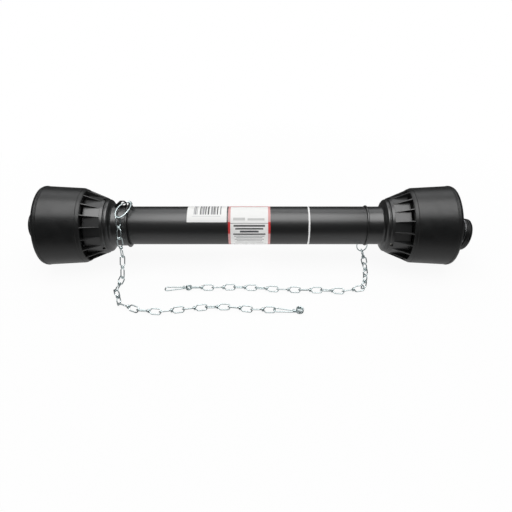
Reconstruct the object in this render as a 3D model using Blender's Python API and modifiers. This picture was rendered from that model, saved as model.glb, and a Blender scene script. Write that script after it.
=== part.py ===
"""A guarded telescopic drive shaft for a tractor's power take-off, with its two safety chains.

Lengths are in metres. Along the shaft a size is measured from the guard's middle, with the shaft pushed
together, and the two halves share their sizes. Angles round the shaft run from the front (-Y) upwards.
"""
import bmesh
import bpy
from math import asin, cos, pi, radians, sin, sqrt
from mathutils import Matrix, Vector

NAME = "pto_drive_shaft"

# Overall
ROUND_STEPS = 36              # facets of the guard's round parts
GAP = 0.0003                  # clearance between pieces that touch
DROOP = radians(13.6)         # the right end yoke hangs this far down

# Guard bells
RIM_AT = 0.463                # every other station follows from this one
RIM_R = 0.091
DRUM_LENGTH = 0.092
DRUM_FOOT_AT = RIM_AT - DRUM_LENGTH
DRUM_FOOT_R = 0.0855
DRUM_STEP = 0.009
CONE_AT = DRUM_FOOT_AT - DRUM_STEP    # where the ribbed cone meets the drum
CONE_R = 0.081
CONE_LENGTH = 0.0435
CONE_NECK_AT = CONE_AT - CONE_LENGTH
CONE_NECK_R = 0.0623
SHOULDER_SET = 0.0065
SHOULDER_AT = CONE_NECK_AT - SHOULDER_SET
SHOULDER_R = 0.060
SHOULDER_LENGTH = 0.0075
NECK_AT = SHOULDER_AT - SHOULDER_LENGTH
NECK_LENGTH = 0.0365
NECK_END_AT = NECK_AT - NECK_LENGTH
WALL = 0.003
LIP_WIDTH = 0.0033
LEFT_LIP = 0.0035             # height of the neck's lip over the neck
RIGHT_LIP = 0.0028
POCKETS = 18
RIB = radians(2.3)            # a rib's angle at the axis
POCKET_FOOT_R = 0.070         # the pocket's floor where it meets the drum
VENT_WIDTH = 0.0034
TAB_SLOT = (0.0030, 0.0064)   # along the shaft, across
LEFT_RIB_PHASE = radians(26.5)
RIGHT_RIB_PHASE = radians(36.5)
LEFT_TAB_PHASE = radians(-23.5)
RIGHT_TAB_PHASE = radians(-13.5)
SEAT_WIDTH = 0.011            # seat of the bearing ring in the bell
SEAT_PAST_CONE = 0.0035
SEAT_FAR = CONE_NECK_AT + SEAT_PAST_CONE
SEAT_NEAR = SEAT_FAR - SEAT_WIDTH
SEAT_R = 0.0555

# Guard tubes
OUTER_TUBE_R = 0.0435
INNER_TUBE_R = 0.0404
TUBE_WALL = 0.0025
OUTER_TUBE_SHORT = 0.011      # from the left seat back to the tube's end in the neck
OUTER_TUBE_END = SEAT_NEAR - OUTER_TUBE_SHORT
INNER_TUBE_SHORT = 0.009
INNER_TUBE_END = SEAT_NEAR - INNER_TUBE_SHORT
INNER_TUBE_LENGTH = 0.477

# Lugs for the chains
LUG_THICK = 0.005
LUG_HIGH = 0.0145
LEFT_LUG_ANGLE = radians(95)
LEFT_LUG_SET = 0.004          # from the neck's end to the lug
LEFT_LUG_FROM = NECK_END_AT + LEFT_LUG_SET
LEFT_LUG_LONG = 0.028
LEFT_LUG_TO = LEFT_LUG_FROM + LEFT_LUG_LONG
LEFT_LUG_HOLE_SET = 0.0076
LEFT_LUG_HOLE_AT = LEFT_LUG_FROM + LEFT_LUG_HOLE_SET
LEFT_LUG_HOLE = (0.0545, 0.0050)    # distance from the axis, radius
RIGHT_LUG_ANGLE = radians(-105)
RIGHT_LUG_SET = 0.0055
RIGHT_LUG_AT = NECK_END_AT + RIGHT_LUG_SET
RIGHT_LUG_WIDE = 0.014
RIGHT_LUG_HOLE = (0.0507, 0.0024)

# Drive line
RING_BORE_R = 0.0363          # bearing ring on the yoke's groove
FLANGE_R = 0.039
FLANGE_WIDTH = 0.006
FLANGE_AT = SEAT_NEAR - FLANGE_WIDTH
NOSE_LENGTH = 0.013
HUB_NOSE = (FLANGE_AT - NOSE_LENGTH, 0.034)    # where the tube yoke's hub starts, and its radius
HUB_BODY = 0.024              # from the bearing ring's seat to the left hub's root
RIGHT_HUB_EXTRA = 0.006
HUB_ROOT = 0.050              # tube yoke's hub to the cross
JOINT_LEFT = SEAT_FAR + HUB_BODY + HUB_ROOT    # middle of the guard to the left cross
JOINT_RIGHT = JOINT_LEFT + RIGHT_HUB_EXTRA
PROFILE_MID = 0.0248          # three-lobed tube, mean outside radius
PROFILE_LOBE = 0.0022
PROFILE_WALL = 0.004
INNER_PROFILE_WALL = 0.0035
PROFILE_IN_HUB = 0.050
PROFILE_SEAT = HUB_NOSE[0] + PROFILE_IN_HUB    # each tube's end in its own hub
PROFILE_CLEAR = 0.022
PROFILE_END = HUB_NOSE[0] - PROFILE_CLEAR      # its free end, near the other hub
PROFILE_POINTS = 18
PIN_R = 0.005
PIN_BORE_R = 0.003
PIN_LENGTH = 0.074
PIN_TO_CROSS = 0.063

# Universal joints
CAP_R = 0.0151
CROSS_SPAN = 0.092
CAP_LENGTH = 0.022
CAP_WALL = 0.0038
CAP_END = 0.0035
JOURNAL_SEAL_R = 0.0135
NIPPLE_R = 0.0034
NIPPLE_AT = JOURNAL_SEAL_R * sqrt(2) + 0.001    # its seat from the cross's middle
EAR_R = 0.0215
EAR_IN = 0.0245
EAR_OUT = 0.0445
EAR_BASE = 0.027
YOKE_ROOT = 0.044
END_HUB_R = 0.031
LEFT_HUB_END = 0.098
RIGHT_HUB_END = 0.108
SPLINE_MINOR = 0.0148
SPLINE_MAJOR = 0.0174
SPLINES = 6
SPLINE_SHARE = 0.30           # half a groove's share of one spline's angle
LOCK_PIN_R = 0.005
LOCK_PIN_OFFSET = 0.0195
LOCK_PIN_FROM_END = 0.020
LOCK_BOSS_R = 0.0095
LOCK_BOSS_HALF = 0.0285
COLLAR_R = 0.0365
COLLAR_FLANGE_R = 0.040
COLLAR_LENGTH = 0.034
ROUND_BORE_STEPS = 16
YOKE_STEPS = 24
SMALL_STEPS = 12

# Chains
WIRE_R = 0.0013
PITCH = 0.0475                # from one link's hold to the next
HOLD = 2 * WIRE_R + 0.00045   # between the two wires that hold each other
LOOP_R = 0.0059               # half the loop's width, at the wire's middle
KNOT_R = 0.0041
KNOT_LENGTH = 0.0062
LINK_ROLL = radians(8)        # how far links lie from 45 degrees, at most
FIRST_ROLL = radians(30)      # the first link, squarer to its ring's wire
LINK_LIE = LOOP_R * sin(pi / 4 + LINK_ROLL) + WIRE_R + GAP    # a lying chain's middle over the floor
LEFT_LINKS = 12
RIGHT_LINKS = 11
HOOK_LENGTH = 0.047
HOOK_R = 0.0064
EYE_R = 0.0058
EYE_POINTS = 10

RUBBER_BLACK = (0.022, 0.023, 0.025)


def clear_scene():
    for item in list(bpy.data.objects):
        bpy.data.objects.remove(item, do_unlink=True)


def collection(name):
    made = bpy.data.collections.new(name)
    bpy.context.scene.collection.children.link(made)
    return made


def material(name, color, roughness, metallic=0.0):
    made = bpy.data.materials.new(name)
    made.use_nodes = True
    shader = made.node_tree.nodes["Principled BSDF"]
    shader.inputs["Base Color"].default_value = (*color, 1)
    shader.inputs["Roughness"].default_value = roughness
    shader.inputs["Metallic"].default_value = metallic
    made.diffuse_color = (*color, 1)
    return made


clear_scene()
PARTS = collection(NAME)
CUTTERS = collection("cutters")


def object_of(mesh, name, matrix=Matrix(), home=None):
    made = bpy.data.objects.new(name, mesh)
    (home or PARTS).objects.link(made)
    made.matrix_world = matrix
    return made


def hang(item, parent):
    """Parents an object where it is."""
    bpy.context.view_layer.update()
    place = item.matrix_world.copy()
    item.parent = parent
    item.matrix_parent_inverse = parent.matrix_world.inverted()
    item.matrix_world = place


def finish(piece, finish_material, parent):
    """Gives a piece its material and hangs it on its joint's empty, and its cutters on it."""
    piece.data.materials.clear()
    piece.data.materials.append(finish_material)
    piece.data.shade_smooth()
    piece.data.set_sharp_from_angle(angle=radians(32))
    hang(piece, parent)
    for step in piece.modifiers:
        if step.type == "BOOLEAN":
            hang(step.object, piece)
    return piece


def as_cutter(piece):
    piece.hide_render = True
    piece.display_type = "WIRE"
    return piece


def joined(piece, tool, operation):
    step = piece.modifiers.new(operation.lower() + "_" + tool.name, "BOOLEAN")
    step.object = tool
    step.operation = operation
    step.solver = "EXACT"
    return piece


def cut(piece, tool):
    return joined(piece, as_cutter(tool), "DIFFERENCE")


def add(piece, tool):
    return joined(piece, as_cutter(tool), "UNION")


def mesh_of(made):
    """The evaluated object as a welded mesh of its own."""
    bpy.context.view_layer.update()
    graph = bpy.context.evaluated_depsgraph_get()
    mesh = bpy.data.meshes.new_from_object(made.evaluated_get(graph))
    work = bmesh.new()
    work.from_mesh(mesh)
    bmesh.ops.remove_doubles(work, verts=work.verts, dist=0.00001)
    work.to_mesh(mesh)
    work.free()
    return mesh


def turned(name, outline, steps, matrix=Matrix(), home=None):
    """A closed outline of (radius, height), down its outer side first, turned about Z."""
    mesh = bpy.data.meshes.new(name)
    points = [(radius, 0, height) for radius, height in outline]
    edges = [(i, (i + 1) % len(points)) for i in range(len(points))]
    if outline[0][0] == 0:
        edges = edges[:-1]
    mesh.from_pydata(points, edges, [])
    made = object_of(mesh, name, matrix, home)
    screw = made.modifiers.new("turn", "SCREW")
    screw.steps = steps
    screw.render_steps = steps
    screw.use_merge_vertices = True
    screw.merge_threshold = 0.00005
    return made


def rod(name, radius, low, high, steps, matrix=Matrix(), home=None):
    outline = [(0, high), (radius, high), (radius, low), (0, low)]
    return turned(name, outline, steps, matrix, home)


def prism(name, loops, low, high, matrix=Matrix(), home=None):
    """Flat loops of (x, y) filled and drawn out along Z; a loop in a loop is a hole."""
    curve = bpy.data.curves.new(name, "CURVE")
    curve.dimensions = "2D"
    curve.fill_mode = "BOTH"
    curve.extrude = (high - low) / 2
    for loop in loops:
        spline = curve.splines.new("POLY")
        spline.points.add(len(loop) - 1)
        for point, (x, y) in zip(spline.points, loop):
            point.co = (x, y, 0, 1)
        spline.use_cyclic_u = True
    flat = object_of(curve, name + "_outline")
    mesh = mesh_of(flat)
    bpy.data.objects.remove(flat, do_unlink=True)
    mesh.name = name
    mesh.transform(Matrix.Translation((0, 0, (low + high) / 2)))
    return object_of(mesh, name, matrix, home)


def wire_mesh(name, points, radius, closed, sides=6):
    curve = bpy.data.curves.new(name, "CURVE")
    curve.dimensions = "3D"
    curve.bevel_depth = radius
    curve.bevel_resolution = sides // 2 - 2
    curve.use_fill_caps = True
    spline = curve.splines.new("POLY")
    spline.points.add(len(points) - 1)
    for point, place in zip(spline.points, points):
        point.co = (*place, 1)
    spline.use_cyclic_u = closed
    loose = object_of(curve, name + "_path")
    mesh = mesh_of(loose)
    bpy.data.objects.remove(loose, do_unlink=True)
    mesh.name = name
    return mesh


def arc(radius, start, end, steps, middle=(0, 0)):
    turn = (end - start) / steps
    return [(middle[0] + radius * cos(start + turn * i), middle[1] + radius * sin(start + turn * i))
            for i in range(steps + 1)]


def along(side):
    """Turns a piece's Z to point out along the shaft, to the left (-1) or the right (+1)."""
    return Matrix.Rotation(side * pi / 2, 4, "Y")


def turn_for(side, angle):
    """The turn about a piece's own Z that brings its X to an angle round the shaft."""
    return angle - pi / 2 if side < 0 else -pi / 2 - angle


def guard_frame(side):
    """Along the shaft, rolled so that a facet of the round parts lies at the bottom."""
    return along(side) @ Matrix.Rotation(pi / ROUND_STEPS, 4, "Z")


def guard_turn(side, angle):
    return turn_for(side, angle) - pi / ROUND_STEPS


def on_ring(angle, radius):
    """Height and depth (y, z) of a point round the shaft."""
    return -radius * cos(angle), radius * sin(angle)


def empty(name, matrix, parent=None):
    made = bpy.data.objects.new(name, None)
    PARTS.objects.link(made)
    made.empty_display_size = 0.02
    made.matrix_world = matrix
    if parent:
        made.parent = parent
        made.matrix_parent_inverse = parent.matrix_world.inverted()
    bpy.context.view_layer.update()
    return made


BLACK = material("black_guard_plastic", RUBBER_BLACK, 0.45)
NYLON = material("white_nylon", (0.72, 0.70, 0.62), 0.5)
PAINTED = material("black_painted_steel", (0.03, 0.03, 0.03), 0.4)
TUBE_STEEL = material("drawn_steel", (0.30, 0.30, 0.31), 0.35, 1.0)
BEARING = material("ground_steel", (0.62, 0.62, 0.64), 0.22, 1.0)
SPRING = material("spring_steel", (0.20, 0.20, 0.21), 0.4, 1.0)
BRASS = material("brass", (0.68, 0.47, 0.20), 0.3, 1.0)
ZINC = material("zinc_plated_wire", (0.66, 0.71, 0.74), 0.25, 1.0)


# Guard

def wedges(name, outline, middles, spread):
    """Copies of a flat outline of (radius, height), each swept a small turn about Z."""
    work = bmesh.new()
    for middle in middles:
        rings = []
        for turn in (middle - spread, middle + spread):
            rings.append([work.verts.new((r * cos(turn), r * sin(turn), h)) for r, h in outline])
        work.faces.new(rings[0])
        work.faces.new(rings[1][::-1])
        for i in range(len(outline)):
            k = (i + 1) % len(outline)
            work.faces.new((rings[0][i], rings[1][i], rings[1][k], rings[0][k]))
    bmesh.ops.recalc_face_normals(work, faces=work.faces)
    mesh = bpy.data.meshes.new(name)
    work.to_mesh(mesh)
    work.free()
    return mesh


def cut_pockets(bell, name, side, phase, frame):
    """The pockets between the ribs, and the vent at each pocket's foot."""
    far = CONE_AT - 0.0001
    near = CONE_NECK_AT + 0.0009
    clear_r = RIM_R + 0.010
    pocket = [(CONE_NECK_R + 0.0001, near), (POCKET_FOOT_R, far - VENT_WIDTH), (SEAT_R, far - VENT_WIDTH),
              (SEAT_R, far), (clear_r, far), (clear_r, near)]
    middles = [guard_turn(side, phase + (number + 0.5) * 2 * pi / POCKETS) for number in range(POCKETS)]
    half = pi / POCKETS - RIB / 2
    cut(bell, object_of(wedges(name + "_pockets", pocket, middles, half), name + "_pockets", frame, CUTTERS))


def box_mesh(name, size, matrices):
    work = bmesh.new()
    for matrix in matrices:
        bmesh.ops.create_cube(work, size=1, matrix=matrix @ Matrix.Diagonal((*size, 1)))
    mesh = bpy.data.meshes.new(name)
    work.to_mesh(mesh)
    work.free()
    return mesh


def tab_places(side, phase, radius, height):
    return [Matrix.Rotation(guard_turn(side, phase + i * 2 * pi / 3), 4, "Z")
            @ Matrix.Translation((radius, 0, height)) for i in range(3)]


TAB_AT = SEAT_FAR - GAP - TAB_SLOT[0] / 2
SLOT_REACH = 0.012


def guard_bell(name, side, tube_r, lip, rib_phase, tab_phase):
    bore = tube_r + GAP
    neck_r = bore + WALL - 0.0003
    foot = CONE_AT + WALL + 0.0005
    floor_slope = (POCKET_FOOT_R - CONE_NECK_R) / (CONE_AT - CONE_NECK_AT)
    inner_cone_near = CONE_NECK_R - WALL + floor_slope * (SEAT_FAR - CONE_NECK_AT)
    outline = [(RIM_R - 0.0006, RIM_AT), (RIM_R, RIM_AT - 0.0012), (DRUM_FOOT_R, DRUM_FOOT_AT),
               ((DRUM_FOOT_R + CONE_R) / 2 + 0.0011, CONE_AT + 0.0035), (CONE_R, CONE_AT),
               (CONE_NECK_R, CONE_NECK_AT), (SHOULDER_R, SHOULDER_AT),
               (SHOULDER_R - 0.0045, SHOULDER_AT - 0.005), (neck_r + 0.0025, NECK_AT),
               (neck_r, NECK_AT - 0.002), (neck_r, NECK_END_AT + LIP_WIDTH),
               (neck_r + lip, NECK_END_AT + LIP_WIDTH), (neck_r + lip, NECK_END_AT), (bore, NECK_END_AT),
               (bore, SEAT_NEAR), (SEAT_R, SEAT_NEAR), (SEAT_R, SEAT_FAR), (inner_cone_near, SEAT_FAR),
               (POCKET_FOOT_R - WALL, foot), (DRUM_FOOT_R - WALL, foot), (RIM_R - WALL, RIM_AT)]
    frame = guard_frame(side)
    bell = turned(name, outline, ROUND_STEPS, frame)
    cut_pockets(bell, name, side, rib_phase, frame)
    slot = (SLOT_REACH * 2, TAB_SLOT[1], TAB_SLOT[0] + 2 * GAP)
    slots = box_mesh(name + "_slots", slot, tab_places(side, tab_phase, SEAT_R + SLOT_REACH / 2, TAB_AT))
    cut(bell, object_of(slots, name + "_slots", frame, CUTTERS))
    return bell, neck_r


def left_lug(bell, neck_r):
    """An upright arch on the neck, with a hole through it for the ring."""
    height = neck_r + LUG_HIGH
    base = neck_r - WALL / 2
    slope = 0.007
    outline = [(LEFT_LUG_FROM, base), (LEFT_LUG_FROM, height - slope), (LEFT_LUG_FROM + slope, height),
               (LEFT_LUG_TO - 2 * slope, height), (LEFT_LUG_TO, base + 0.004), (LEFT_LUG_TO, base)]
    at, radius = LEFT_LUG_HOLE
    hole = arc(radius, 0, 2 * pi * 7 / 8, 7, (LEFT_LUG_HOLE_AT, at))
    # The plate's outline lies in the plane of the shaft's axis and the lug's angle.
    stand = Matrix.Rotation(pi / 2 - LEFT_LUG_ANGLE, 4, "X") @ Matrix(
        ((-1, 0, 0, 0), (0, 0, 1, 0), (0, 1, 0, 0), (0, 0, 0, 1)))
    lug = prism("left_lug", [outline, hole], -LUG_THICK / 2, LUG_THICK / 2, stand, CUTTERS)
    return add(bell, lug)


def right_lug(bell, neck_r):
    """A small plate across the shaft under the neck, with a hole for the ring."""
    half = RIGHT_LUG_WIDE / 2
    at, radius = RIGHT_LUG_HOLE
    top = at + radius + 0.0032
    base = neck_r - WALL / 2
    outline = [(base, -half), (at, -half + 0.001), *arc(half * 0.6, -pi / 3, pi / 3, 4, (top - half * 0.6, 0)),
               (at, half - 0.001), (base, half)]
    hole = arc(radius, 0, 2 * pi * 7 / 8, 7, (at, 0))
    stand = along(1) @ Matrix.Rotation(turn_for(1, RIGHT_LUG_ANGLE), 4, "Z")
    lug = prism("right_lug", [outline, hole], RIGHT_LUG_AT - LUG_THICK / 2,
                RIGHT_LUG_AT + LUG_THICK / 2, stand, CUTTERS)
    return add(bell, lug)


def guard_tube(name, radius, low, high):
    bore = radius - TUBE_WALL
    outline = [(radius, high), (radius, low), (bore, low), (bore, high)]
    return turned(name, outline, ROUND_STEPS, guard_frame(1))


def bearing_ring(name, side, tab_phase):
    """A nylon ring in the bell that runs in the yoke's groove, snapped in by three tabs."""
    near = SEAT_NEAR + GAP
    far = SEAT_FAR - GAP
    outer = SEAT_R - GAP
    outline = [(outer, far), (outer, near), (RING_BORE_R, near), (RING_BORE_R, far)]
    frame = guard_frame(side)
    ring = turned(name, outline, ROUND_STEPS, frame)
    reach = CONE_NECK_R - SEAT_R
    size = (reach * 2, TAB_SLOT[1] - 4 * GAP, TAB_SLOT[0] - GAP)
    places = tab_places(side, tab_phase, SEAT_R, TAB_AT - GAP / 2)
    return add(ring, object_of(box_mesh(name + "_tabs", size, places), name + "_tabs", frame, CUTTERS))


# Drive line

def lobed(middle, wall=0.0):
    """The three-lobed outline of a profile tube, or of its bore under the wall."""
    points = []
    for i in range(PROFILE_POINTS):
        turn = 2 * pi * i / PROFILE_POINTS
        radius = middle - wall + PROFILE_LOBE * cos(3 * turn)
        points.append((radius * cos(turn), radius * sin(turn)))
    return points


INNER_PROFILE_MID = PROFILE_MID - PROFILE_WALL - 2 * GAP


def profile_tube(name, side, middle, wall, low, high):
    tube = prism(name, [lobed(middle), lobed(middle, wall)], low, high, along(1))
    return cut(tube, pin_hole(name + "_pin_hole", side))


def joint_at(side):
    return JOINT_LEFT if side < 0 else JOINT_RIGHT


def across(side, distance):
    """A frame on the shaft whose Z points to the front, for pins and caps across it."""
    return Matrix.Translation((side * distance, 0, 0)) @ Matrix.Rotation(pi / 2, 4, "X")


def pin_hole(name, side):
    place = Matrix.Translation((side * (joint_at(side) - PIN_TO_CROSS), 0, 0))
    return rod(name, PIN_R + GAP, -FLANGE_R - 0.002, FLANGE_R + 0.002, SMALL_STEPS, place, CUTTERS)


def ear_outline(root, base):
    """One ear seen along its cap: round about the cap, running out to the hub."""
    lean = asin((EAR_R - base) / root) if base < EAR_R else -asin((base - EAR_R) / root)
    tip = arc(EAR_R, -pi / 2 - lean, pi / 2 + lean, 7)
    return [(-root, base), (-root, -base), *tip]


def cap_bore(name, matrix):
    reach = EAR_OUT + 0.01
    return rod(name, CAP_R + GAP, -reach, reach, ROUND_BORE_STEPS, matrix, CUTTERS)


def tube_yoke(name, side):
    """Hub on the profile tube, groove for the guard's bearing ring, and two ears to front and back."""
    joint = joint_at(side)
    root = joint - HUB_ROOT
    nose_at, nose_r = HUB_NOSE
    groove = RING_BORE_R - GAP
    bore = PROFILE_MID / 2
    outline = [(FLANGE_R - 0.002, root), (FLANGE_R, root - 0.002), (FLANGE_R, SEAT_FAR), (groove, SEAT_FAR),
               (groove, SEAT_NEAR), (FLANGE_R, SEAT_NEAR), (FLANGE_R, FLANGE_AT), (nose_r, FLANGE_AT - 0.001),
               (nose_r, nose_at), (bore, nose_at), (bore, root)]
    yoke = turned(name, outline, YOKE_STEPS, along(side) @ Matrix.Rotation(pi / YOKE_STEPS, 4, "Z"))
    middle = Matrix.Translation((side * joint, 0, 0))
    # The ears' outlines have +X away from the hub.
    facing = Matrix.Rotation(pi, 4, "Z") if side < 0 else Matrix()
    for sign in (-1, 1):
        stand = middle @ facing @ Matrix.Rotation(sign * pi / 2, 4, "X")
        low, high = EAR_IN, EAR_OUT
        ear = prism(f"{name}_ear_{'front' if sign > 0 else 'back'}",
                    [ear_outline(HUB_ROOT + 0.004, EAR_BASE)], low, high, stand, CUTTERS)
        add(yoke, ear)
    cut(yoke, cap_bore(name + "_cap_bore", across(side, joint)))
    mean = PROFILE_MID if side < 0 else INNER_PROFILE_MID
    low, high = sorted((side * (nose_at - 0.01), side * (root + 0.01)))
    hole = prism(name + "_tube_bore", [lobed(mean + GAP)], low, high, along(1), CUTTERS)
    cut(yoke, hole)
    cut(yoke, pin_hole(name + "_pin_hole", side))
    return yoke


def spring_pin(name, side):
    """A rolled pin with its slit, driven through the hub and the tube."""
    slit = radians(20)
    outer = arc(PIN_R, slit, 2 * pi - slit, 10)
    inner = arc(PIN_BORE_R, 2 * pi - slit, slit, 10)
    place = Matrix.Translation((side * (joint_at(side) - PIN_TO_CROSS), 0, 0))
    return prism(name, [outer + inner], -PIN_LENGTH / 2, PIN_LENGTH / 2, place)


def cross(name, frame):
    """Four journals on a rounded body. The frame's Y and Z are the two arms."""
    journal = CAP_R - CAP_WALL - GAP
    reach = CROSS_SPAN / 2 - CAP_END - GAP
    shoulder = CROSS_SPAN / 2 - CAP_LENGTH - GAP
    outline = [(0, reach), (journal, reach), (journal, shoulder), (JOURNAL_SEAL_R, shoulder),
               (JOURNAL_SEAL_R, -shoulder), (journal, -shoulder), (journal, -reach), (0, -reach)]
    body = turned(name, outline, ROUND_BORE_STEPS, frame)
    other = turned(name + "_arms", outline, ROUND_BORE_STEPS, frame @ Matrix.Rotation(pi / 2, 4, "X"), CUTTERS)
    add(body, other)
    seat = rod(name + "_nipple_seat", NIPPLE_R + GAP, NIPPLE_AT - GAP, NIPPLE_AT + 0.01, 8, nipple_frame(frame), CUTTERS)
    return cut(body, seat)


def bearing_cap(name, place):
    """A cup over a journal, its closed end outwards (+Z)."""
    outer = CROSS_SPAN / 2
    inner = CAP_R - CAP_WALL
    low = outer - CAP_LENGTH
    outline = [(0, outer), (CAP_R, outer), (CAP_R, low), (inner, low), (inner, outer - CAP_END),
               (0, outer - CAP_END)]
    return turned(name, outline, ROUND_BORE_STEPS, place)


def nipple_frame(frame):
    """Its Z points out between two arms."""
    return frame @ Matrix.Rotation(-pi / 4, 4, "X")


def grease_nipple(name, frame):
    """Screwed into the cross between two arms."""
    outline = [(0, NIPPLE_AT + 0.0095), (0.0012, NIPPLE_AT + 0.0095), (0.0024, NIPPLE_AT + 0.0075),
               (0.0018, NIPPLE_AT + 0.006), (NIPPLE_R, NIPPLE_AT + 0.005), (NIPPLE_R, NIPPLE_AT), (0, NIPPLE_AT)]
    return turned(name, outline, 8, nipple_frame(frame))


def end_yoke(name, frame, hub_end, bosses=()):
    """The splined hub and its two ears above and below. The frame's X points out of the machine's side."""
    outward = frame @ Matrix.Rotation(pi / 2, 4, "Y")
    outline = [(END_HUB_R - 0.0015, hub_end), (END_HUB_R, hub_end - 0.0015), (END_HUB_R, YOKE_ROOT + 0.003),
               (END_HUB_R - 0.004, YOKE_ROOT), (SPLINE_MINOR / 2, YOKE_ROOT), (SPLINE_MINOR / 2, hub_end)]
    yoke = turned(name, outline, YOKE_STEPS, outward)
    for sign in (-1, 1):
        stand = frame @ Matrix.Rotation(pi, 4, "Z") @ Matrix.Rotation(0 if sign > 0 else pi, 4, "X")
        ear = prism(f"{name}_ear_{'top' if sign > 0 else 'bottom'}",
                    [ear_outline(YOKE_ROOT + 0.004, EAR_BASE - 0.004)], EAR_IN, EAR_OUT, stand, CUTTERS)
        add(yoke, ear)
    foot = root_block(name + "_foot", frame)
    add(yoke, foot)
    for boss in bosses:
        add(yoke, boss)
    cut(yoke, cap_bore(name + "_cap_bore", frame))
    cut(yoke, prism(name + "_spline", [spline_outline()], YOKE_ROOT - 0.01, hub_end + 0.01, outward, CUTTERS))
    return yoke


def root_block(name, frame):
    """The web under the ears, from the hub out to their outer sides."""
    low, high = YOKE_ROOT, YOKE_ROOT + 0.012
    half = EAR_BASE - 0.004
    outline = [(low, -EAR_OUT), (high, -END_HUB_R), (high, END_HUB_R), (low, EAR_OUT)]
    stand = frame @ Matrix.Rotation(pi / 2, 4, "X")
    return prism(name, [outline], -half, half, stand, CUTTERS)


def spline_outline():
    """Six grooves in a round bore."""
    points = []
    step = 2 * pi / SPLINES
    groove = step * SPLINE_SHARE
    for i in range(SPLINES):
        middle = i * step
        points += [(SPLINE_MINOR, middle - step / 2), (SPLINE_MINOR, middle - groove),
                   (SPLINE_MAJOR, middle - groove * 0.9), (SPLINE_MAJOR, middle + groove * 0.9),
                   (SPLINE_MINOR, middle + groove)]
    return [(r * cos(t), r * sin(t)) for r, t in points]


def lock_place(frame):
    """Where the push pin crosses the left hub, its Z along the pin."""
    middle = LEFT_HUB_END - LOCK_PIN_FROM_END
    return frame @ Matrix.Translation((middle, 0, LOCK_PIN_OFFSET)) @ Matrix.Rotation(pi / 2, 4, "X")


def left_lock(yoke, frame):
    """The push pin across the left hub, and its hole."""
    place = lock_place(frame)
    half = LOCK_BOSS_HALF
    cut(yoke, rod("left_lock_hole", LOCK_PIN_R + GAP, -half - 0.01, half + 0.01, SMALL_STEPS, place, CUTTERS))
    head = 0.0075
    outline = [(0, half + 0.011), (head - 0.002, half + 0.011), (head, half + 0.009), (head, half + 0.0065),
               (LOCK_PIN_R, half + 0.0065), (LOCK_PIN_R, -half - 0.001), (LOCK_PIN_R - 0.001, -half - 0.002),
               (0, -half - 0.002)]
    return turned("left_lock_pin", outline, SMALL_STEPS, place)


def lock_collar(name, frame):
    """The sliding collar on the right hub, with a grip flange and ridges."""
    bore = END_HUB_R + GAP
    high = RIGHT_HUB_END - 0.002
    low = high - COLLAR_LENGTH
    ridge = 0.0022
    outline = [(COLLAR_R - 0.002, high), (COLLAR_R, high - 0.002), (COLLAR_R, low + 0.022),
               (COLLAR_R - ridge, low + 0.020), (COLLAR_R - ridge, low + 0.014), (COLLAR_FLANGE_R, low + 0.011),
               (COLLAR_FLANGE_R, low + 0.006), (COLLAR_R - ridge, low + 0.003), (COLLAR_R - ridge, low),
               (bore, low), (bore, high)]
    return turned(name, outline, YOKE_STEPS, frame @ Matrix.Rotation(pi / 2, 4, "Y"))


# Chains

def half_loop():
    """One side of a loop's wire, from inside the knot out to its far end, as (along, across)."""
    reach = (PITCH + HOLD) / 2
    return [(0.0010, 0.0018), (reach * 0.55, LOOP_R), (reach, LOOP_R / 2)]


def link_mesh():
    """A link bent from one wire: two loops square to each other, tied by a knot."""
    upper = half_loop()
    lower = [(x, -y) for x, y in reversed(upper)]
    loop = [(x, y, 0) for x, y in upper + lower]
    first = object_of(wire_mesh("link_loop", loop, WIRE_R, True), "link_first")
    opposite = Matrix.Rotation(pi, 4, "Z") @ Matrix.Rotation(pi / 2, 4, "X")
    second = object_of(first.data, "link_second", opposite)
    outline = [(0, KNOT_LENGTH / 2), (KNOT_R, KNOT_LENGTH / 2), (KNOT_R, -KNOT_LENGTH / 2), (0, -KNOT_LENGTH / 2)]
    knot = turned("link_knot", outline, 8, Matrix.Rotation(pi / 2, 4, "Y"))
    joined(first, knot, "UNION")
    joined(first, second, "UNION")
    mesh = mesh_of(first)
    mesh.name = "chain_link"
    for used in (knot, first, second):
        bpy.data.objects.remove(used, do_unlink=True)
    return mesh


def hook_mesh():
    """One wire bent to a long loop with a coiled eye; the chain's hold is at the origin."""
    eye_far = 2 * EYE_R - HOLD / 2
    end = eye_far + HOOK_LENGTH
    side = [(eye_far - 0.0015, 0.0012), (eye_far + 0.008, 0.0032), (end - HOOK_R - 0.012, HOOK_R * 0.86)]
    flat = radians(26)
    upper = side + arc(HOOK_R, pi / 2 * 1.1, flat, 2, (end - HOOK_R * cos(flat), 0))
    lower = [(x, -y) for x, y in reversed(upper)]
    loop = object_of(wire_mesh("hook_loop", [(x, y, 0) for x, y in upper + lower], WIRE_R, True), "hook_loop")
    turn = pi / EYE_POINTS
    corners = arc(EYE_R / cos(turn), turn, 2 * pi - turn, EYE_POINTS - 1, (EYE_R - HOLD / 2, 0))
    circle = [(x, y, 0) for x, y in corners]
    eye = object_of(wire_mesh("hook_eye", circle, WIRE_R, True), "hook_eye")
    joined(loop, eye, "UNION")
    mesh = mesh_of(loop)
    mesh.name = "chain_hook"
    bpy.data.objects.remove(loop, do_unlink=True)
    bpy.data.objects.remove(eye, do_unlink=True)
    return mesh, end


def walk(route, count):
    """Holds at one pitch from each other along a route of straight stretches."""
    holds = [Vector(route[0])]
    fine = []
    for start, stop in zip(route, route[1:]):
        start, stop = Vector(start), Vector(stop)
        parts = 200
        fine += [start.lerp(stop, i / parts) for i in range(parts)]
    fine.append(Vector(route[-1]))
    reach = 0
    while len(holds) <= count:
        while (fine[reach] - holds[-1]).length < PITCH:
            reach += 1
        direction = (fine[reach] - holds[-1]).normalized()
        holds.append(holds[-1] + direction * PITCH)
    return holds


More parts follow.
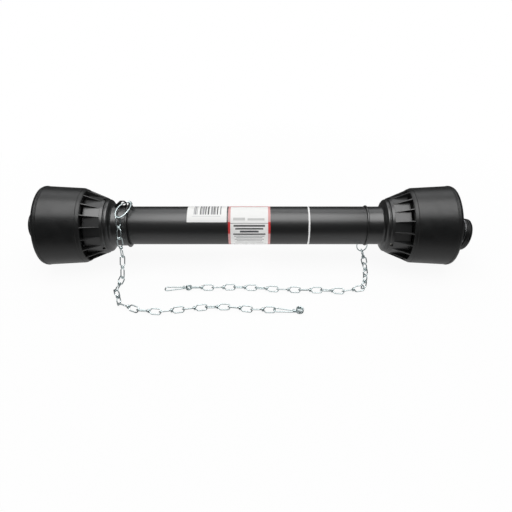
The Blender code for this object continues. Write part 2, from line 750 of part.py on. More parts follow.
def lying_frame(start, stop, up, roll):
    """A frame midway between two holds, its X along them and its Z near the given way up."""
    ahead = (stop - start).normalized()
    side = up.cross(ahead).normalized()
    top = ahead.cross(side)
    turn = Matrix((ahead, side, top)).transposed().to_4x4()
    return Matrix.Translation((start + stop) / 2) @ turn @ Matrix.Rotation(roll, 4, "X")


FLOOR = -RIM_R * cos(pi / ROUND_STEPS)
LAID = FLOOR + LINK_LIE
RING_POINTS = 16
LEFT_RING_SET = 0.0026        # from the lug's hole to the ring's middle
LEFT_RING_AT = LEFT_LUG_HOLE_AT - LEFT_RING_SET
LEFT_RING_HOLD = (-LEFT_RING_AT - 0.0082, -0.0354, 0.0421)
LEFT_STEPS = [
    (0.0042, -0.0635, 0.0038), (0.0042, -0.0640, -0.0437), (0.0037, -0.0878, LAID), (-0.0003, -0.134, LAID),
    (0.0132, -0.176, LAID), (0.0302, -0.193, LAID), (0.0502, -0.199, LAID), (0.0852, -0.210, LAID),
    (0.1252, -0.206, LAID), (0.1752, -0.193, LAID), (0.2252, -0.190, LAID), (0.2552, -0.191, LAID),
    (0.2802, -0.196, LAID), (0.3002, -0.201, LAID), (0.4052, -0.204, LAID)]
RIGHT_RING_HOLD = (RIGHT_LUG_AT + 0.0020, 0.0140, -0.0785)
RIGHT_STEPS = [
    (-0.0015, -0.0330, LAID), (-0.0075, -0.080, LAID), (-0.0145, -0.118, LAID), (-0.0295, -0.137, LAID),
    (-0.0505, -0.143, LAID), (-0.0725, -0.136, LAID), (-0.1155, -0.134, LAID), (-0.1625, -0.133, LAID),
    (-0.1855, -0.127, LAID), (-0.2085, -0.131, LAID), (-0.2325, -0.127, LAID), (-0.3235, -0.122, LAID),
    (-0.3705, -0.127, LAID), (-0.4755, -0.118, LAID)]


def laid(hold, steps):
    """A chain's way from its ring's hold, each step's X taken from that hold."""
    return [hold] + [(hold[0] + x, y, z) for x, y, z in steps]


def chain(side, route, count, mesh, parent):
    holds = walk(route, count)
    name = "left" if side < 0 else "right"
    for i in range(count):
        ahead = (holds[i + 1] - holds[i]).normalized()
        lying = Vector((0, 0, 1))
        steep = abs(ahead.z)
        way_up = lying if steep < 0.5 else (lying * (1 - steep) + Vector((0, -1, 0)) * steep)
        roll = pi / 4 + LINK_ROLL * sin(1.9 * i) if i else FIRST_ROLL
        place = lying_frame(holds[i], holds[i + 1], way_up, roll)
        finish(object_of(mesh, f"{name}_chain_link_{i + 1:02d}", place), ZINC, parent)
    return holds


def left_ring_points():
    """An oval wire ring laid round the top of the neck, from the chain up to the lug."""
    low, high = radians(48.4), radians(101)
    middle, spread = (low + high) / 2, (high - low) / 2
    half = 0.0150
    lean = 0.0080
    points = []
    for i in range(RING_POINTS):
        turn = 2 * pi * i / RING_POINTS
        angle = middle + spread * sin(turn)
        rise = (angle - radians(72)) / radians(28)
        radius = 0.0522 + 0.0033 * rise * rise
        y, z = on_ring(angle, radius)
        points.append((-LEFT_RING_AT + half * cos(turn) + lean * sin(turn), y, z))
    return points


def right_ring_points():
    """An oval wire ring that hangs from the lug under the neck."""
    y, z = on_ring(RIGHT_LUG_ANGLE, RIGHT_LUG_HOLE[0] - 0.0006)
    hold = Vector(RIGHT_RING_HOLD)
    top = Vector((RIGHT_LUG_AT, y, z))
    low = Vector((RIGHT_LUG_AT, hold.y - HOLD / 2, hold.z))
    middle = (top + low) / 2
    down = (low - top) / 2
    return [tuple(middle + Vector((0.0122 * cos(t), 0, 0)) + down * sin(t))
            for t in (2 * pi * i / RING_POINTS for i in range(RING_POINTS))]


def place_on_floor(top):
    """Moves the whole shaft so that the middle of its footprint is the origin."""
    bpy.context.view_layer.update()
    graph = bpy.context.evaluated_depsgraph_get()
    corners = []
    for item in PARTS.objects:
        if item.type == "MESH" and not item.hide_render:
            made = item.evaluated_get(graph)
            corners += [made.matrix_world @ vertex.co for vertex in made.data.vertices]
    low = [min(corner[i] for corner in corners) for i in range(3)]
    high = [max(corner[i] for corner in corners) for i in range(3)]
    top.location = (-(low[0] + high[0]) / 2, -(low[1] + high[1]) / 2, -low[2])
    bpy.context.view_layer.update()


def build():
    top = empty("guard_frame", Matrix())
    left_at = Matrix.Translation((-JOINT_LEFT, 0, 0))
    right_at = Matrix.Translation((JOINT_RIGHT, 0, 0))
    left_frame = left_at @ Matrix.Rotation(pi, 4, "Z")
    right_frame = right_at @ Matrix.Rotation(DROOP, 4, "Y")
    inner_guard = empty("inner_guard_slide", Matrix(), top)
    shaft = empty("shaft_axis", Matrix(), top)
    inner_shaft = empty("inner_shaft_slide", Matrix(), shaft)
    left_joint = empty("left_cross_axis", left_frame, shaft)
    right_joint = empty("right_cross_axis", right_frame, inner_shaft)

    bell, neck_r = guard_bell("left_guard_bell", -1, OUTER_TUBE_R, LEFT_LIP, LEFT_RIB_PHASE, LEFT_TAB_PHASE)
    finish(left_lug(bell, neck_r), BLACK, top)
    bell, neck_r = guard_bell("right_guard_bell", 1, INNER_TUBE_R, RIGHT_LIP, RIGHT_RIB_PHASE, RIGHT_TAB_PHASE)
    finish(right_lug(bell, neck_r), BLACK, inner_guard)
    finish(guard_tube("outer_guard_tube", OUTER_TUBE_R, -OUTER_TUBE_END, NECK_END_AT - GAP), BLACK, top)
    finish(guard_tube("inner_guard_tube", INNER_TUBE_R, INNER_TUBE_END - INNER_TUBE_LENGTH, INNER_TUBE_END),
           BLACK, inner_guard)
    finish(bearing_ring("left_bearing_ring", -1, LEFT_TAB_PHASE), NYLON, top)
    finish(bearing_ring("right_bearing_ring", 1, RIGHT_TAB_PHASE), NYLON, inner_guard)

    finish(profile_tube("outer_profile_tube", -1, PROFILE_MID, PROFILE_WALL, -PROFILE_SEAT, PROFILE_END),
           TUBE_STEEL, shaft)
    finish(profile_tube("inner_profile_tube", 1, INNER_PROFILE_MID, INNER_PROFILE_WALL, -PROFILE_END,
                        PROFILE_SEAT), TUBE_STEEL, inner_shaft)
    finish(tube_yoke("left_tube_yoke", -1), PAINTED, shaft)
    finish(tube_yoke("right_tube_yoke", 1), PAINTED, inner_shaft)
    finish(spring_pin("left_spring_pin", -1), SPRING, shaft)
    finish(spring_pin("right_spring_pin", 1), SPRING, inner_shaft)

    for side, name, frame, holder, joint, hub_end in (
            (-1, "left", left_frame, shaft, left_joint, LEFT_HUB_END),
            (1, "right", right_frame, inner_shaft, right_joint, RIGHT_HUB_END)):
        finish(cross(name + "_cross", frame), BEARING, joint)
        finish(grease_nipple(name + "_grease_nipple", frame), BRASS, joint)
        arms = {"front": pi / 2, "back": -pi / 2, "top": 0, "bottom": pi}
        for word, turn in arms.items():
            facing = frame @ Matrix.Rotation(turn if side > 0 or word in ("top", "bottom") else -turn, 4, "X")
            carrier = holder if word in ("front", "back") else joint
            finish(bearing_cap(f"{name}_{word}_cap", facing), BEARING, carrier)
        bosses = []
        if side < 0:
            bosses.append(rod("left_lock_boss", LOCK_BOSS_R, -LOCK_BOSS_HALF, LOCK_BOSS_HALF, SMALL_STEPS,
                              lock_place(frame), CUTTERS))
        yoke = end_yoke(name + "_end_yoke", frame, hub_end, bosses)
        if side < 0:
            finish(left_lock(yoke, frame), BEARING, joint)
        else:
            finish(lock_collar("right_lock_collar", frame), PAINTED, joint)
        finish(yoke, PAINTED, joint)

    link = link_mesh()
    hook, hook_length = hook_mesh()
    y, z = on_ring(LEFT_LUG_ANGLE, LEFT_LUG_HOLE[0])
    left_swing = empty("left_chain_axis", Matrix.Translation((-LEFT_LUG_HOLE_AT, y, z)), top)
    y, z = on_ring(RIGHT_LUG_ANGLE, RIGHT_LUG_HOLE[0])
    right_swing = empty("right_chain_axis", Matrix.Translation((RIGHT_LUG_AT, y, z)), inner_guard)
    finish(object_of(wire_mesh("left_ring", left_ring_points(), WIRE_R, True), "left_chain_ring"), ZINC, left_swing)
    finish(object_of(wire_mesh("right_ring", right_ring_points(), WIRE_R, True), "right_chain_ring"), ZINC,
           right_swing)
    left_holds = chain(-1, laid(LEFT_RING_HOLD, LEFT_STEPS), LEFT_LINKS, link, left_swing)
    right_holds = chain(1, laid(RIGHT_RING_HOLD, RIGHT_STEPS), RIGHT_LINKS, link, right_swing)
    for name, holds, swing in (("left", left_holds, left_swing), ("right", right_holds, right_swing)):
        start = holds[-1]
        ahead = (start - holds[-2]).normalized()
        ahead.z = -(start.z - FLOOR - WIRE_R - GAP) / hook_length
        hook_axis = empty(name + "_hook_axis", Matrix.Translation(start), swing)
        place = lying_frame(start, start + ahead * 0.001, Vector((0, 0, 1)), 0)
        if name == "left":
            place = place @ Matrix.Translation((hook_length - HOLD / 2 - GAP, 0, 0)) @ Matrix.Rotation(pi, 4, "Z")
        finish(object_of(hook, name + "_chain_hook", place), ZINC, hook_axis)

    place_on_floor(top)


build()
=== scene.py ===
"""Looks of a guarded telescopic drive shaft for a tractor's power take-off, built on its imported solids.

Lengths are in metres. A station is a distance along the shaft from the guard's middle, the same for both
halves. An angle round the shaft runs from the front upwards.
"""
from math import asin, atan2, cos, pi, radians, sin, tan

import bmesh
import bpy
from mathutils import Matrix, Vector


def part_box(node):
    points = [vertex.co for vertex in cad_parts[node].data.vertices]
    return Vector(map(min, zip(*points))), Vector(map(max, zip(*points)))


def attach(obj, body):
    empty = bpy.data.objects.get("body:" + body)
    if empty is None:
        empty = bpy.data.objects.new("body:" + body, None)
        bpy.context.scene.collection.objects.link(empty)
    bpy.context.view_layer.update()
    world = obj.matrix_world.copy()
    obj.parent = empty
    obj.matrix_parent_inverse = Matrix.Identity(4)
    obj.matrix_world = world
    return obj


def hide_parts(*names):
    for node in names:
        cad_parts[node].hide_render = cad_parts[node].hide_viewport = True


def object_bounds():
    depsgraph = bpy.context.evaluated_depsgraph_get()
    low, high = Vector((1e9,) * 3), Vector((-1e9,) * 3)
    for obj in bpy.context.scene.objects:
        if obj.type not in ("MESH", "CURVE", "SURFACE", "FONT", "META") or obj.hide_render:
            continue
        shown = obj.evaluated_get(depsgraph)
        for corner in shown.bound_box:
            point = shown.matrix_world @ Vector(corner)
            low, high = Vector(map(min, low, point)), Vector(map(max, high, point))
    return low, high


bl_info = {
    "name": "Guarded drive shaft",
    "version": (1, 0, 0),
    "blender": (4, 5, 0),
    "location": "3D View > Sidebar > Drive shaft",
    "description": "Builds the guard, drive line and safety chains of a telescopic drive shaft",
    "category": "Add Mesh",
}

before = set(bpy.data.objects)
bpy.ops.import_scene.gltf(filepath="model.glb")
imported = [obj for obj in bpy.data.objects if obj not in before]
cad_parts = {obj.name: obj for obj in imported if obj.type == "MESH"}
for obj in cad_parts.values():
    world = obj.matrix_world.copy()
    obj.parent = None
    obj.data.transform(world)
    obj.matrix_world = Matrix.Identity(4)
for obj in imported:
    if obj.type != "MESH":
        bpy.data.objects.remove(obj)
CAD_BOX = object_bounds()

# The guard's middle on the shaft's axis
tube_low, tube_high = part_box("outer_guard_tube")
OUTER_TUBE_END = 0.300
MIDDLE = Vector((tube_low.x + OUTER_TUBE_END, (tube_low.y + tube_high.y) / 2, (tube_low.z + tube_high.z) / 2))
HOME = Matrix.Translation(MIDDLE)

# Sizes of the solids that the looks follow
GAP = 0.0003                  # clearance between pieces that touch
RIM_R = 0.091 * cos(pi / 36)  # inside the solid's flat facets
FLOOR = -RIM_R
RIM_AT = 0.463
FOOT_AT = 0.371               # where the drum narrows towards the cone
CONE_AT = 0.362
CONE_R = 0.081
CONE_NECK_AT = 0.3185
CONE_NECK_R = 0.0623
CONE_SLOPE = (CONE_R - CONE_NECK_R) / (CONE_AT - CONE_NECK_AT)
BAND_END = CONE_NECK_AT + 0.006
POCKET_FOOT_R = 0.070
NECK_AT = 0.3045
NECK_END_AT = 0.268
WALL = 0.003
SEAT_NEAR = 0.311
SEAT_FAR = 0.322
SEAT_R = 0.0555
RING_BORE_R = 0.0363          # the bearing rings' bore
OUTER_TUBE_R = 0.0435
INNER_TUBE_R = 0.0404
INNER_TUBE_END = 0.302
INNER_TUBE_LENGTH = 0.477
TUBE_WALL = 0.0025
FINE = 128                    # steps round the guard


# Settings a user may change

class DriveShaftSizes(bpy.types.PropertyGroup):
    """Sizes of the pieces that the solids leave open."""
    rib_thickness: bpy.props.FloatProperty(
        name="Rib thickness", description="Thickness of the guard cone's ribs",
        default=0.0026, min=0.001, max=0.006, unit="LENGTH")
    rib_count: bpy.props.IntProperty(
        name="Ribs", description="Ribs round each guard bell's cone", default=18, min=6, max=36)
    sticker_thickness: bpy.props.FloatProperty(
        name="Sticker thickness", description="How far stickers stand off the tube",
        default=0.00014, min=0.00005, max=0.0005, unit="LENGTH")
    stripe_width: bpy.props.FloatProperty(
        name="Stripe width", description="Width of the painted ring round the guard tube",
        default=0.0037, min=0.001, max=0.01, unit="LENGTH")
    knot_turns: bpy.props.IntProperty(
        name="Knot turns", description="Turns of wire that tie a chain link's middle",
        default=2, min=1, max=5)


class DriveShaftColours(bpy.types.PropertyGroup):
    """Colours of the finishes."""
    guard: bpy.props.FloatVectorProperty(
        name="Guard plastic", description="Moulded guard plastic",
        subtype="COLOR", size=3, min=0, max=1, default=(0.0076, 0.0080, 0.0080))
    paint: bpy.props.FloatVectorProperty(
        name="Yoke paint", description="Paint on the yokes and the collar",
        subtype="COLOR", size=3, min=0, max=1, default=(0.012, 0.012, 0.012))
    zinc: bpy.props.FloatVectorProperty(
        name="Zinc plate", description="Plating of the chains, rings and hooks",
        subtype="COLOR", size=3, min=0, max=1, default=(0.74, 0.86, 0.88))
    paper: bpy.props.FloatVectorProperty(
        name="Sticker white", description="Ground colour of the stickers",
        subtype="COLOR", size=3, min=0, max=1, default=(0.89, 0.89, 0.875))
    edge: bpy.props.FloatVectorProperty(
        name="Sticker edge", description="Side bands of the second sticker",
        subtype="COLOR", size=3, min=0, max=1, default=(0.62, 0.035, 0.035))


# Meshes

def arc(radius, steps, first=0.0, sweep=None, at=(0.0, 0.0)):
    """Points (x, y) of an arc, both ends among them, or of a full circle where no sweep is given."""
    count = steps if sweep is None else steps + 1
    turns = [first + (2 * pi if sweep is None else sweep) * k / steps for k in range(count)]
    return [(at[0] + radius * cos(turn), at[1] + radius * sin(turn)) for turn in turns]


def rounded(corners, steps=4):
    """A closed outline of corners (x, y, radius), rounded."""
    made = []
    count = len(corners)
    for i, (x, y, radius) in enumerate(corners):
        here = Vector((x, y))
        back = Vector(corners[i - 1][:2]) - here
        ahead = Vector(corners[(i + 1) % count][:2]) - here
        if radius <= 0:
            made.append((x, y))
            continue
        reach_limit = min(back.length, ahead.length) * 0.48
        back.normalize()
        ahead.normalize()
        half = back.angle(ahead) / 2
        reach = min(radius / tan(half), reach_limit)
        centre = here + (back + ahead).normalized() * (reach / cos(half))
        start = here + back * reach - centre
        stop = here + ahead * reach - centre
        turn = atan2(start.x * stop.y - start.y * stop.x, start.dot(stop))
        for k in range(steps + 1):
            t = turn * k / steps
            made.append((centre.x + start.x * cos(t) - start.y * sin(t),
                         centre.y + start.x * sin(t) + start.y * cos(t)))
    return made


def mirrored(side):
    """An outline's one side (x, y, radius) and the same again beyond the X axis."""
    return side + [(x, -y, radius) for x, y, radius in reversed(side)]


def closed(work):
    """The work's faces as a mesh, its seams closed and its normals out."""
    bmesh.ops.remove_doubles(work, verts=work.verts, dist=0.000001)
    bmesh.ops.recalc_face_normals(work, faces=work.faces)
    return shape_of(work)


def shape_of(work):
    mesh = bpy.data.meshes.new("shape")
    work.to_mesh(mesh)
    work.free()
    return mesh


def turned(outline, steps=FINE, matrix=Matrix()):
    """A closed outline of (radius, height) turned about Z. A point at radius 0 is a pole."""
    work = bmesh.new()
    rings = []
    for radius, height in outline:
        if radius <= 0:
            pole = work.verts.new((0, 0, height))
            rings.append([pole] * steps)
        else:
            rings.append([work.verts.new((x, y, height)) for x, y in arc(radius, steps)])
    for i in range(len(rings)):
        a, b = rings[i], rings[(i + 1) % len(rings)]
        if a[0] is a[1] and b[0] is b[1]:
            continue
        for k in range(steps):
            m = (k + 1) % steps
            corners = []
            for vertex in (a[k], a[m], b[m], b[k]):
                if vertex not in corners:
                    corners.append(vertex)
            if len(corners) > 2:
                work.faces.new(corners)
    mesh = closed(work)
    mesh.transform(matrix)
    return mesh


def plate(loops, low, high, matrix=Matrix(), bevel=0.0004):
    """Flat loops of (x, y) drawn out along Z with rounded edges; a loop in a loop is a hole."""
    curve = bpy.data.curves.new("plate", "CURVE")
    curve.dimensions = "2D"
    curve.fill_mode = "BOTH"
    curve.extrude = (high - low) / 2 - bevel
    curve.bevel_depth = bevel
    curve.bevel_resolution = 1
    curve.offset = -bevel
    for loop in loops:
        spline = curve.splines.new("POLY")
        spline.points.add(len(loop) - 1)
        for point, (x, y) in zip(spline.points, loop):
            point.co = (x, y, 0, 1)
        spline.use_cyclic_u = True
    mesh = plain_mesh(bpy.data.objects.new("plate", curve))
    work = bmesh.new()
    work.from_mesh(mesh)
    mesh = closed(work)
    mesh.transform(matrix @ Matrix.Translation((0, 0, (low + high) / 2)))
    return mesh


def plain_mesh(made, helpers=()):
    """The evaluated object as a plain mesh; the object and its helpers are removed."""
    for item in (made, *helpers):
        bpy.context.scene.collection.objects.link(item)
    bpy.context.view_layer.update()
    graph = bpy.context.evaluated_depsgraph_get()
    mesh = bpy.data.meshes.new_from_object(made.evaluated_get(graph))
    for item in (made, *helpers):
        bpy.data.objects.remove(item, do_unlink=True)
    return mesh


def box_mesh(size, matrix):
    """A plain block."""
    work = bmesh.new()
    bmesh.ops.create_cube(work, size=1, matrix=matrix @ Matrix.Diagonal((*size, 1)))
    return closed(work)


def swept(points, radius, is_closed, sides=12):
    """A wire along points, with rounded ends where it is open. Its frame is carried along the path."""
    points = [Vector(point) for point in points]
    count = len(points)
    work = bmesh.new()
    rings = []
    normal = None
    for i, here in enumerate(points):
        if is_closed:
            ahead = (points[(i + 1) % count] - points[i - 1]).normalized()
        else:
            ahead = (points[min(i + 1, count - 1)] - points[max(i - 1, 0)]).normalized()
        if normal is None:
            normal = ahead.orthogonal().normalized()
        normal = (normal - ahead * normal.dot(ahead)).normalized()
        across = ahead.cross(normal)
        rings.append([work.verts.new(here + normal * x + across * y) for x, y in arc(radius, sides)])
    shift = 0
    if is_closed:
        gaps = [(rings[-1][0].co - vertex.co).length for vertex in rings[0]]
        shift = gaps.index(min(gaps))
    for i in range(count if is_closed else count - 1):
        a, b = rings[i], rings[(i + 1) % count]
        step = shift if i == count - 1 else 0
        for k in range(sides):
            m = (k + 1) % sides
            work.faces.new((a[k], a[m], b[(m + step) % sides], b[(k + step) % sides]))
    if not is_closed:
        for ring, here, before in ((rings[0], points[0], points[1]), (rings[-1], points[-1], points[-2])):
            out = (here - before).normalized() * radius
            inner = [work.verts.new(here + out * 0.7 + (vertex.co - here) * 0.7) for vertex in ring]
            tip = work.verts.new(here + out)
            for k in range(sides):
                m = (k + 1) % sides
                work.faces.new((ring[k], ring[m], inner[m], inner[k]))
                work.faces.new((inner[k], inner[m], tip))
    return closed(work)


def smooth_path(points, per):
    """Extra points on an open smooth curve through the given ones."""
    points = [Vector(point) for point in points]
    last = len(points) - 1
    made = []
    for i in range(last):
        a, b, c, d = (points[min(max(i + k, 0), last)] for k in (-1, 0, 1, 2))
        for k in range(per):
            t = k / per
            made.append(0.5 * (2 * b + (c - a) * t + (2 * a - 5 * b + 4 * c - d) * t * t
                               + (3 * b - a - 3 * c + d) * t * t * t))
    return made + [points[-1]]


def together(meshes):
    """Several meshes as one, with nothing merged."""
    work = bmesh.new()
    for mesh in meshes:
        work.from_mesh(mesh)
    return shape_of(work)


def carved(mesh, tools, operation="DIFFERENCE"):
    """A closed mesh with others taken from it or added to it."""
    piece = bpy.data.objects.new("carved", mesh)
    helpers = []
    for tool in tools:
        helper = bpy.data.objects.new("tool", tool)
        step = piece.modifiers.new("carve", "BOOLEAN")
        step.object = helper
        step.operation = operation
        step.solver = "MANIFOLD"
        helpers.append(helper)
    return plain_mesh(piece, helpers)


def softened(mesh, voxel, rounds):
    """A closed shape with its edges rounded as on a forging."""
    piece = bpy.data.objects.new("softened", mesh)
    remesh = piece.modifiers.new("remesh", "REMESH")
    remesh.mode = "VOXEL"
    remesh.voxel_size = voxel
    smooth = piece.modifiers.new("smooth", "SMOOTH")
    smooth.factor = 0.5
    smooth.iterations = rounds
    return plain_mesh(piece)


# Nodes

def feed(tree, made, inputs):
    """Sets a node's inputs; each value is a number, a colour, a name or the socket that it comes from."""
    for name, value in inputs.items():
        if isinstance(value, bpy.types.NodeSocket):
            tree.links.new(value, made.inputs[name])
        else:
            made.inputs[name].default_value = value


def node(tree, kind, inputs=None, **settings):
    made = tree.nodes.new(kind)
    for name, value in settings.items():
        setattr(made, name, value)
    feed(tree, made, inputs or {})
    return made


def reckoned(tree, operation, *values, clamp=False):
    """The result of a Math node on numbers or sockets."""
    made = node(tree, "ShaderNodeMath", dict(enumerate(values)), operation=operation, use_clamp=clamp)
    return made.outputs[0]


def ranged(tree, value, start, stop, low, high, kind="LINEAR"):
    """A value between start and stop, brought to lie between low and high."""
    limits = {"Value": value, "From Min": start, "From Max": stop, "To Min": low, "To Max": high}
    return node(tree, "ShaderNodeMapRange", limits, interpolation_type=kind).outputs["Result"]


def mixed(tree, share, first, second):
    """A colour that goes from the first to the second as the share goes from 0 to 1."""
    return node(tree, "ShaderNodeMix", {0: share, 6: first, 7: second}, data_type="RGBA").outputs[2]


# Finishes

DRIFT = 2.2                   # how far a finish's colour drifts for each unit of its spread
BROAD = 28                    # how much coarser the drift is than the grain
GRAIN_DEPTH = 0.0006


def finish(name, color, roughness, metallic=0.0, grain=900.0, bump=0.02, spread=0.06, wear=0.25, specular=0.5,
           coat=0.0, stretch=(1, 1, 1), ior=1.5):
    """A finish with fine grain, uneven gloss and a slight drift of its colour."""
    made = bpy.data.materials.new(name)
    made.use_nodes = True
    tree = made.node_tree
    place = node(tree, "ShaderNodeTexCoord").outputs["Object"]
    place = node(tree, "ShaderNodeMapping", {"Vector": place, "Scale": stretch}).outputs["Vector"]
    fine, broad = (
        node(tree, "ShaderNodeTexNoise", {"Vector": place, "Scale": scale, "Detail": detail}).outputs["Fac"]
        for scale, detail in ((grain, 3), (grain / BROAD, 4)))
    dark = tuple(c * (1 - spread * DRIFT) for c in color)
    light = tuple(min(c * (1 + spread * DRIFT), 1) for c in color)
    raised = node(tree, "ShaderNodeBump", {"Strength": bump, "Distance": GRAIN_DEPTH, "Height": fine})
    feed(tree, tree.nodes["Principled BSDF"], {
        "Base Color": mixed(tree, broad, (*dark, 1), (*light, 1)),
        "Roughness": ranged(tree, broad, 0.3, 0.7, roughness * (1 - wear), roughness * (1 + wear)),
        "Normal": raised.outputs["Normal"], "Metallic": metallic, "Specular IOR Level": specular, "IOR": ior,
        "Coat Weight": coat})
    return made


def band(tree, value, low, high):
    """1 where a value lies between two limits."""
    return reckoned(tree, "MULTIPLY", reckoned(tree, "GREATER_THAN", value, low),
                    reckoned(tree, "LESS_THAN", value, high))


def sticker_finish(name, ground, fields):
    """Coated paper with flat fields of colour, each ((u from, u to, v from, v to), colour)."""
    made = finish(name, ground, 0.42, grain=1500, bump=0.015, spread=0.008, wear=0.15)
    tree = made.node_tree
    target = tree.nodes["Principled BSDF"].inputs["Base Color"]
    flat = node(tree, "ShaderNodeUVMap", uv_map="flat").outputs["UV"]
    split = node(tree, "ShaderNodeSeparateXYZ", {0: flat}).outputs
    color = target.links[0].from_socket
    for (left, right, low, high), tint in fields:
        across, along_it = band(tree, split["X"], left, right), band(tree, split["Y"], low, high)
        share = reckoned(tree, "MULTIPLY", across, along_it)
        color = mixed(tree, share, color, (*tint, 1))
    tree.links.new(color, target)
    return made


FINISHES = {}


def make_finishes():
    """All finishes apart from the stickers', from the colours that the user set."""
    colours = bpy.context.scene.drive_shaft_colours
    guard, paint, zinc = tuple(colours.guard), tuple(colours.paint), tuple(colours.zinc)
    FINISHES.update({
        "black_guard_plastic": finish(
            "guard_plastic", guard, 0.37, grain=1400, bump=0.035, spread=0.10, wear=0.12, specular=0.72),
        "glossy_guard_plastic": finish(
            "glossy_guard_plastic", guard, 0.33, grain=1400, bump=0.025, spread=0.06, wear=0.05, specular=1.0,
            ior=1.6),
        "guard_tube_plastic": finish(
            "guard_tube_plastic", guard, 0.36, grain=1100, bump=0.03, spread=0.08, wear=0.14, specular=1.0,
            stretch=(0.06, 1, 1), ior=1.6),
        "white_nylon": finish("nylon", (0.72, 0.70, 0.62), 0.5, grain=800),
        "black_painted_steel": finish(
            "yoke_paint", paint, 0.34, grain=420, bump=0.12, spread=0.12, wear=0.3, coat=0.25),
        "drawn_steel": finish(
            "drawn_tube_steel", (0.30, 0.30, 0.31), 0.36, 1.0, bump=0.04, stretch=(0.05, 1, 1)),
        "ground_steel": finish("ground_steel", (0.60, 0.60, 0.62), 0.24, 1.0, grain=1800),
        "spring_steel": finish("spring_steel", (0.20, 0.20, 0.21), 0.36, 1.0, grain=1200, bump=0.03),
        "brass": finish("brass", (0.68, 0.47, 0.20), 0.28, 1.0, grain=1500),
        "zinc_plated_wire": finish(
            "zinc_plate", zinc, 0.24, 1.0, grain=700, bump=0.03, spread=0.10, wear=0.35),
        "stripe_paint": finish("stripe_paint", (0.90, 0.90, 0.89), 0.4, grain=1200, bump=0.03),
    })


def finish_called(name):
    """A finish by its name. All are made when the first one is asked for."""
    if name not in FINISHES:
        make_finishes()
    return FINISHES[name]


def dress(name, mesh, body, slot, replaced=(), finish_name=None, sharp=32):
    """A finished piece at the origin: its finish, its body, and the solids that it stands for."""
    mesh.name = name
    mesh.materials.clear()
    mesh.materials.append(finish_called(finish_name or slot))
    mesh.shade_smooth()
    mesh.set_sharp_from_angle(angle=radians(sharp))
    made = bpy.data.objects.new(name, mesh)
    bpy.context.scene.collection.objects.link(made)
    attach(made, body)
    if replaced:
        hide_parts(*replaced)


# Geometry Nodes

def tree_with(name, sockets):
    """A new tree with a geometry in and out and named inputs, each (label, kind, default)."""
    tree = bpy.data.node_groups.new(name, "GeometryNodeTree")
    for label, kind, default in [("Geometry", "NodeSocketGeometry", None), *sockets,
                                 ("Material", "NodeSocketMaterial", None)]:
        made = tree.interface.new_socket(label, in_out="INPUT", socket_type=kind)
        if default is not None:
            made.default_value = default
    tree.interface.new_socket("Geometry", in_out="OUTPUT", socket_type="NodeSocketGeometry")
    return tree, node(tree, "NodeGroupInput").outputs


def copies(tree, start, points, instance, settings):
    """The tree's end: a copy at each point, made real, with the tree's material."""
    spread = node(tree, "GeometryNodeInstanceOnPoints", {"Points": points, "Instance": instance, **settings})
    real = node(tree, "GeometryNodeRealizeInstances", {0: spread.outputs[0]})
    paint = node(tree, "GeometryNodeSetMaterial", {0: real.outputs[0], "Material": start["Material"]})
    node(tree, "NodeGroupOutput", {0: paint.outputs[0]})
    return tree


def ring_tree():
    """Copies of a piece, evenly round Z."""
    tree, start = tree_with("pieces_round_the_axis", [
        ("Count", "NodeSocketInt", 18), ("Phase", "NodeSocketFloat", 0.0)])
    points = node(tree, "GeometryNodePoints", {"Count": start["Count"]}).outputs[0]
    part = reckoned(tree, "DIVIDE", node(tree, "GeometryNodeInputIndex").outputs[0], start["Count"])
    turn = reckoned(tree, "MULTIPLY_ADD", part, 2 * pi, start["Phase"])
    rotation = node(tree, "ShaderNodeCombineXYZ", {"Z": turn}).outputs[0]
    return copies(tree, start, points, start["Geometry"], {"Rotation": rotation})


def link_tree():
    """A link at each point, turned by the point's own angles."""
    tree, start = tree_with("links_at_holds", [
        ("Link", "NodeSocketObject", None), ("Size", "NodeSocketFloat", 1.0)])
    link = node(tree, "GeometryNodeObjectInfo", {"Object": start["Link"]}).outputs["Geometry"]
    turn = node(tree, "GeometryNodeInputNamedAttribute", {"Name": "turn"}, data_type="FLOAT_VECTOR")
    return copies(tree, start, start["Geometry"], link,
                  {"Rotation": turn.outputs["Attribute"], "Scale": start["Size"]})


def grown(mesh, tree, values):
    """A mesh run through a tree, with the tree's named inputs set."""
    piece = bpy.data.objects.new("grown", mesh)
    step = piece.modifiers.new("nodes", "NODES")
    step.node_group = tree
    for item in tree.interface.items_tree:
        if item.item_type == "SOCKET" and item.in_out == "INPUT" and item.name in values:
            step[item.identifier] = values[item.name]
    return plain_mesh(piece)


# Frames on the shaft

def along(side):
    """Turns a piece's Z to point out along the shaft, to the left (-1) or the right (+1)."""
    return Matrix.Rotation(side * pi / 2, 4, "Y")


def turn_for(side, angle):
    """The turn about a piece's own Z that brings its X to an angle round the shaft."""
    return angle - pi / 2 if side < 0 else -pi / 2 - angle


def on_ring(angle, radius):
    """Depth and height (y, z) of a point round the shaft, the angle running from the front upwards."""
    return -radius * cos(angle), radius * sin(angle)


SIDES = {
    "left": dict(side=-1, body="outer_guard", tube=OUTER_TUBE_R, lip=0.0035, ribs=radians(26.5),
                 tabs=radians(-23.5)),
    "right": dict(side=1, body="inner_guard", tube=INNER_TUBE_R, lip=0.0028, ribs=radians(36.5),
                  tabs=radians(-13.5)),
}


def tab_places(side, radius, station):
    """Three places round the cone's small end, for the nylon tabs and their windows."""
    out = HOME @ along(side["side"])
    spot = Matrix.Translation((radius, 0, station))
    turns = [turn_for(side["side"], side["tabs"] + 2 * pi * k / 3) for k in range(3)]
    return [out @ Matrix.Rotation(turn, 4, "Z") @ spot for turn in turns]


# Guard

TAB_WINDOW = (0.024, 0.0068, 0.0052)   # outwards, across, along
TAB_WINDOW_AT = (0.0615, 0.3208)       # distance from the axis, station
TAB = (0.0124, 0.0046, 0.0022)
TAB_AT = (SEAT_R - 0.0026, 0.3199)


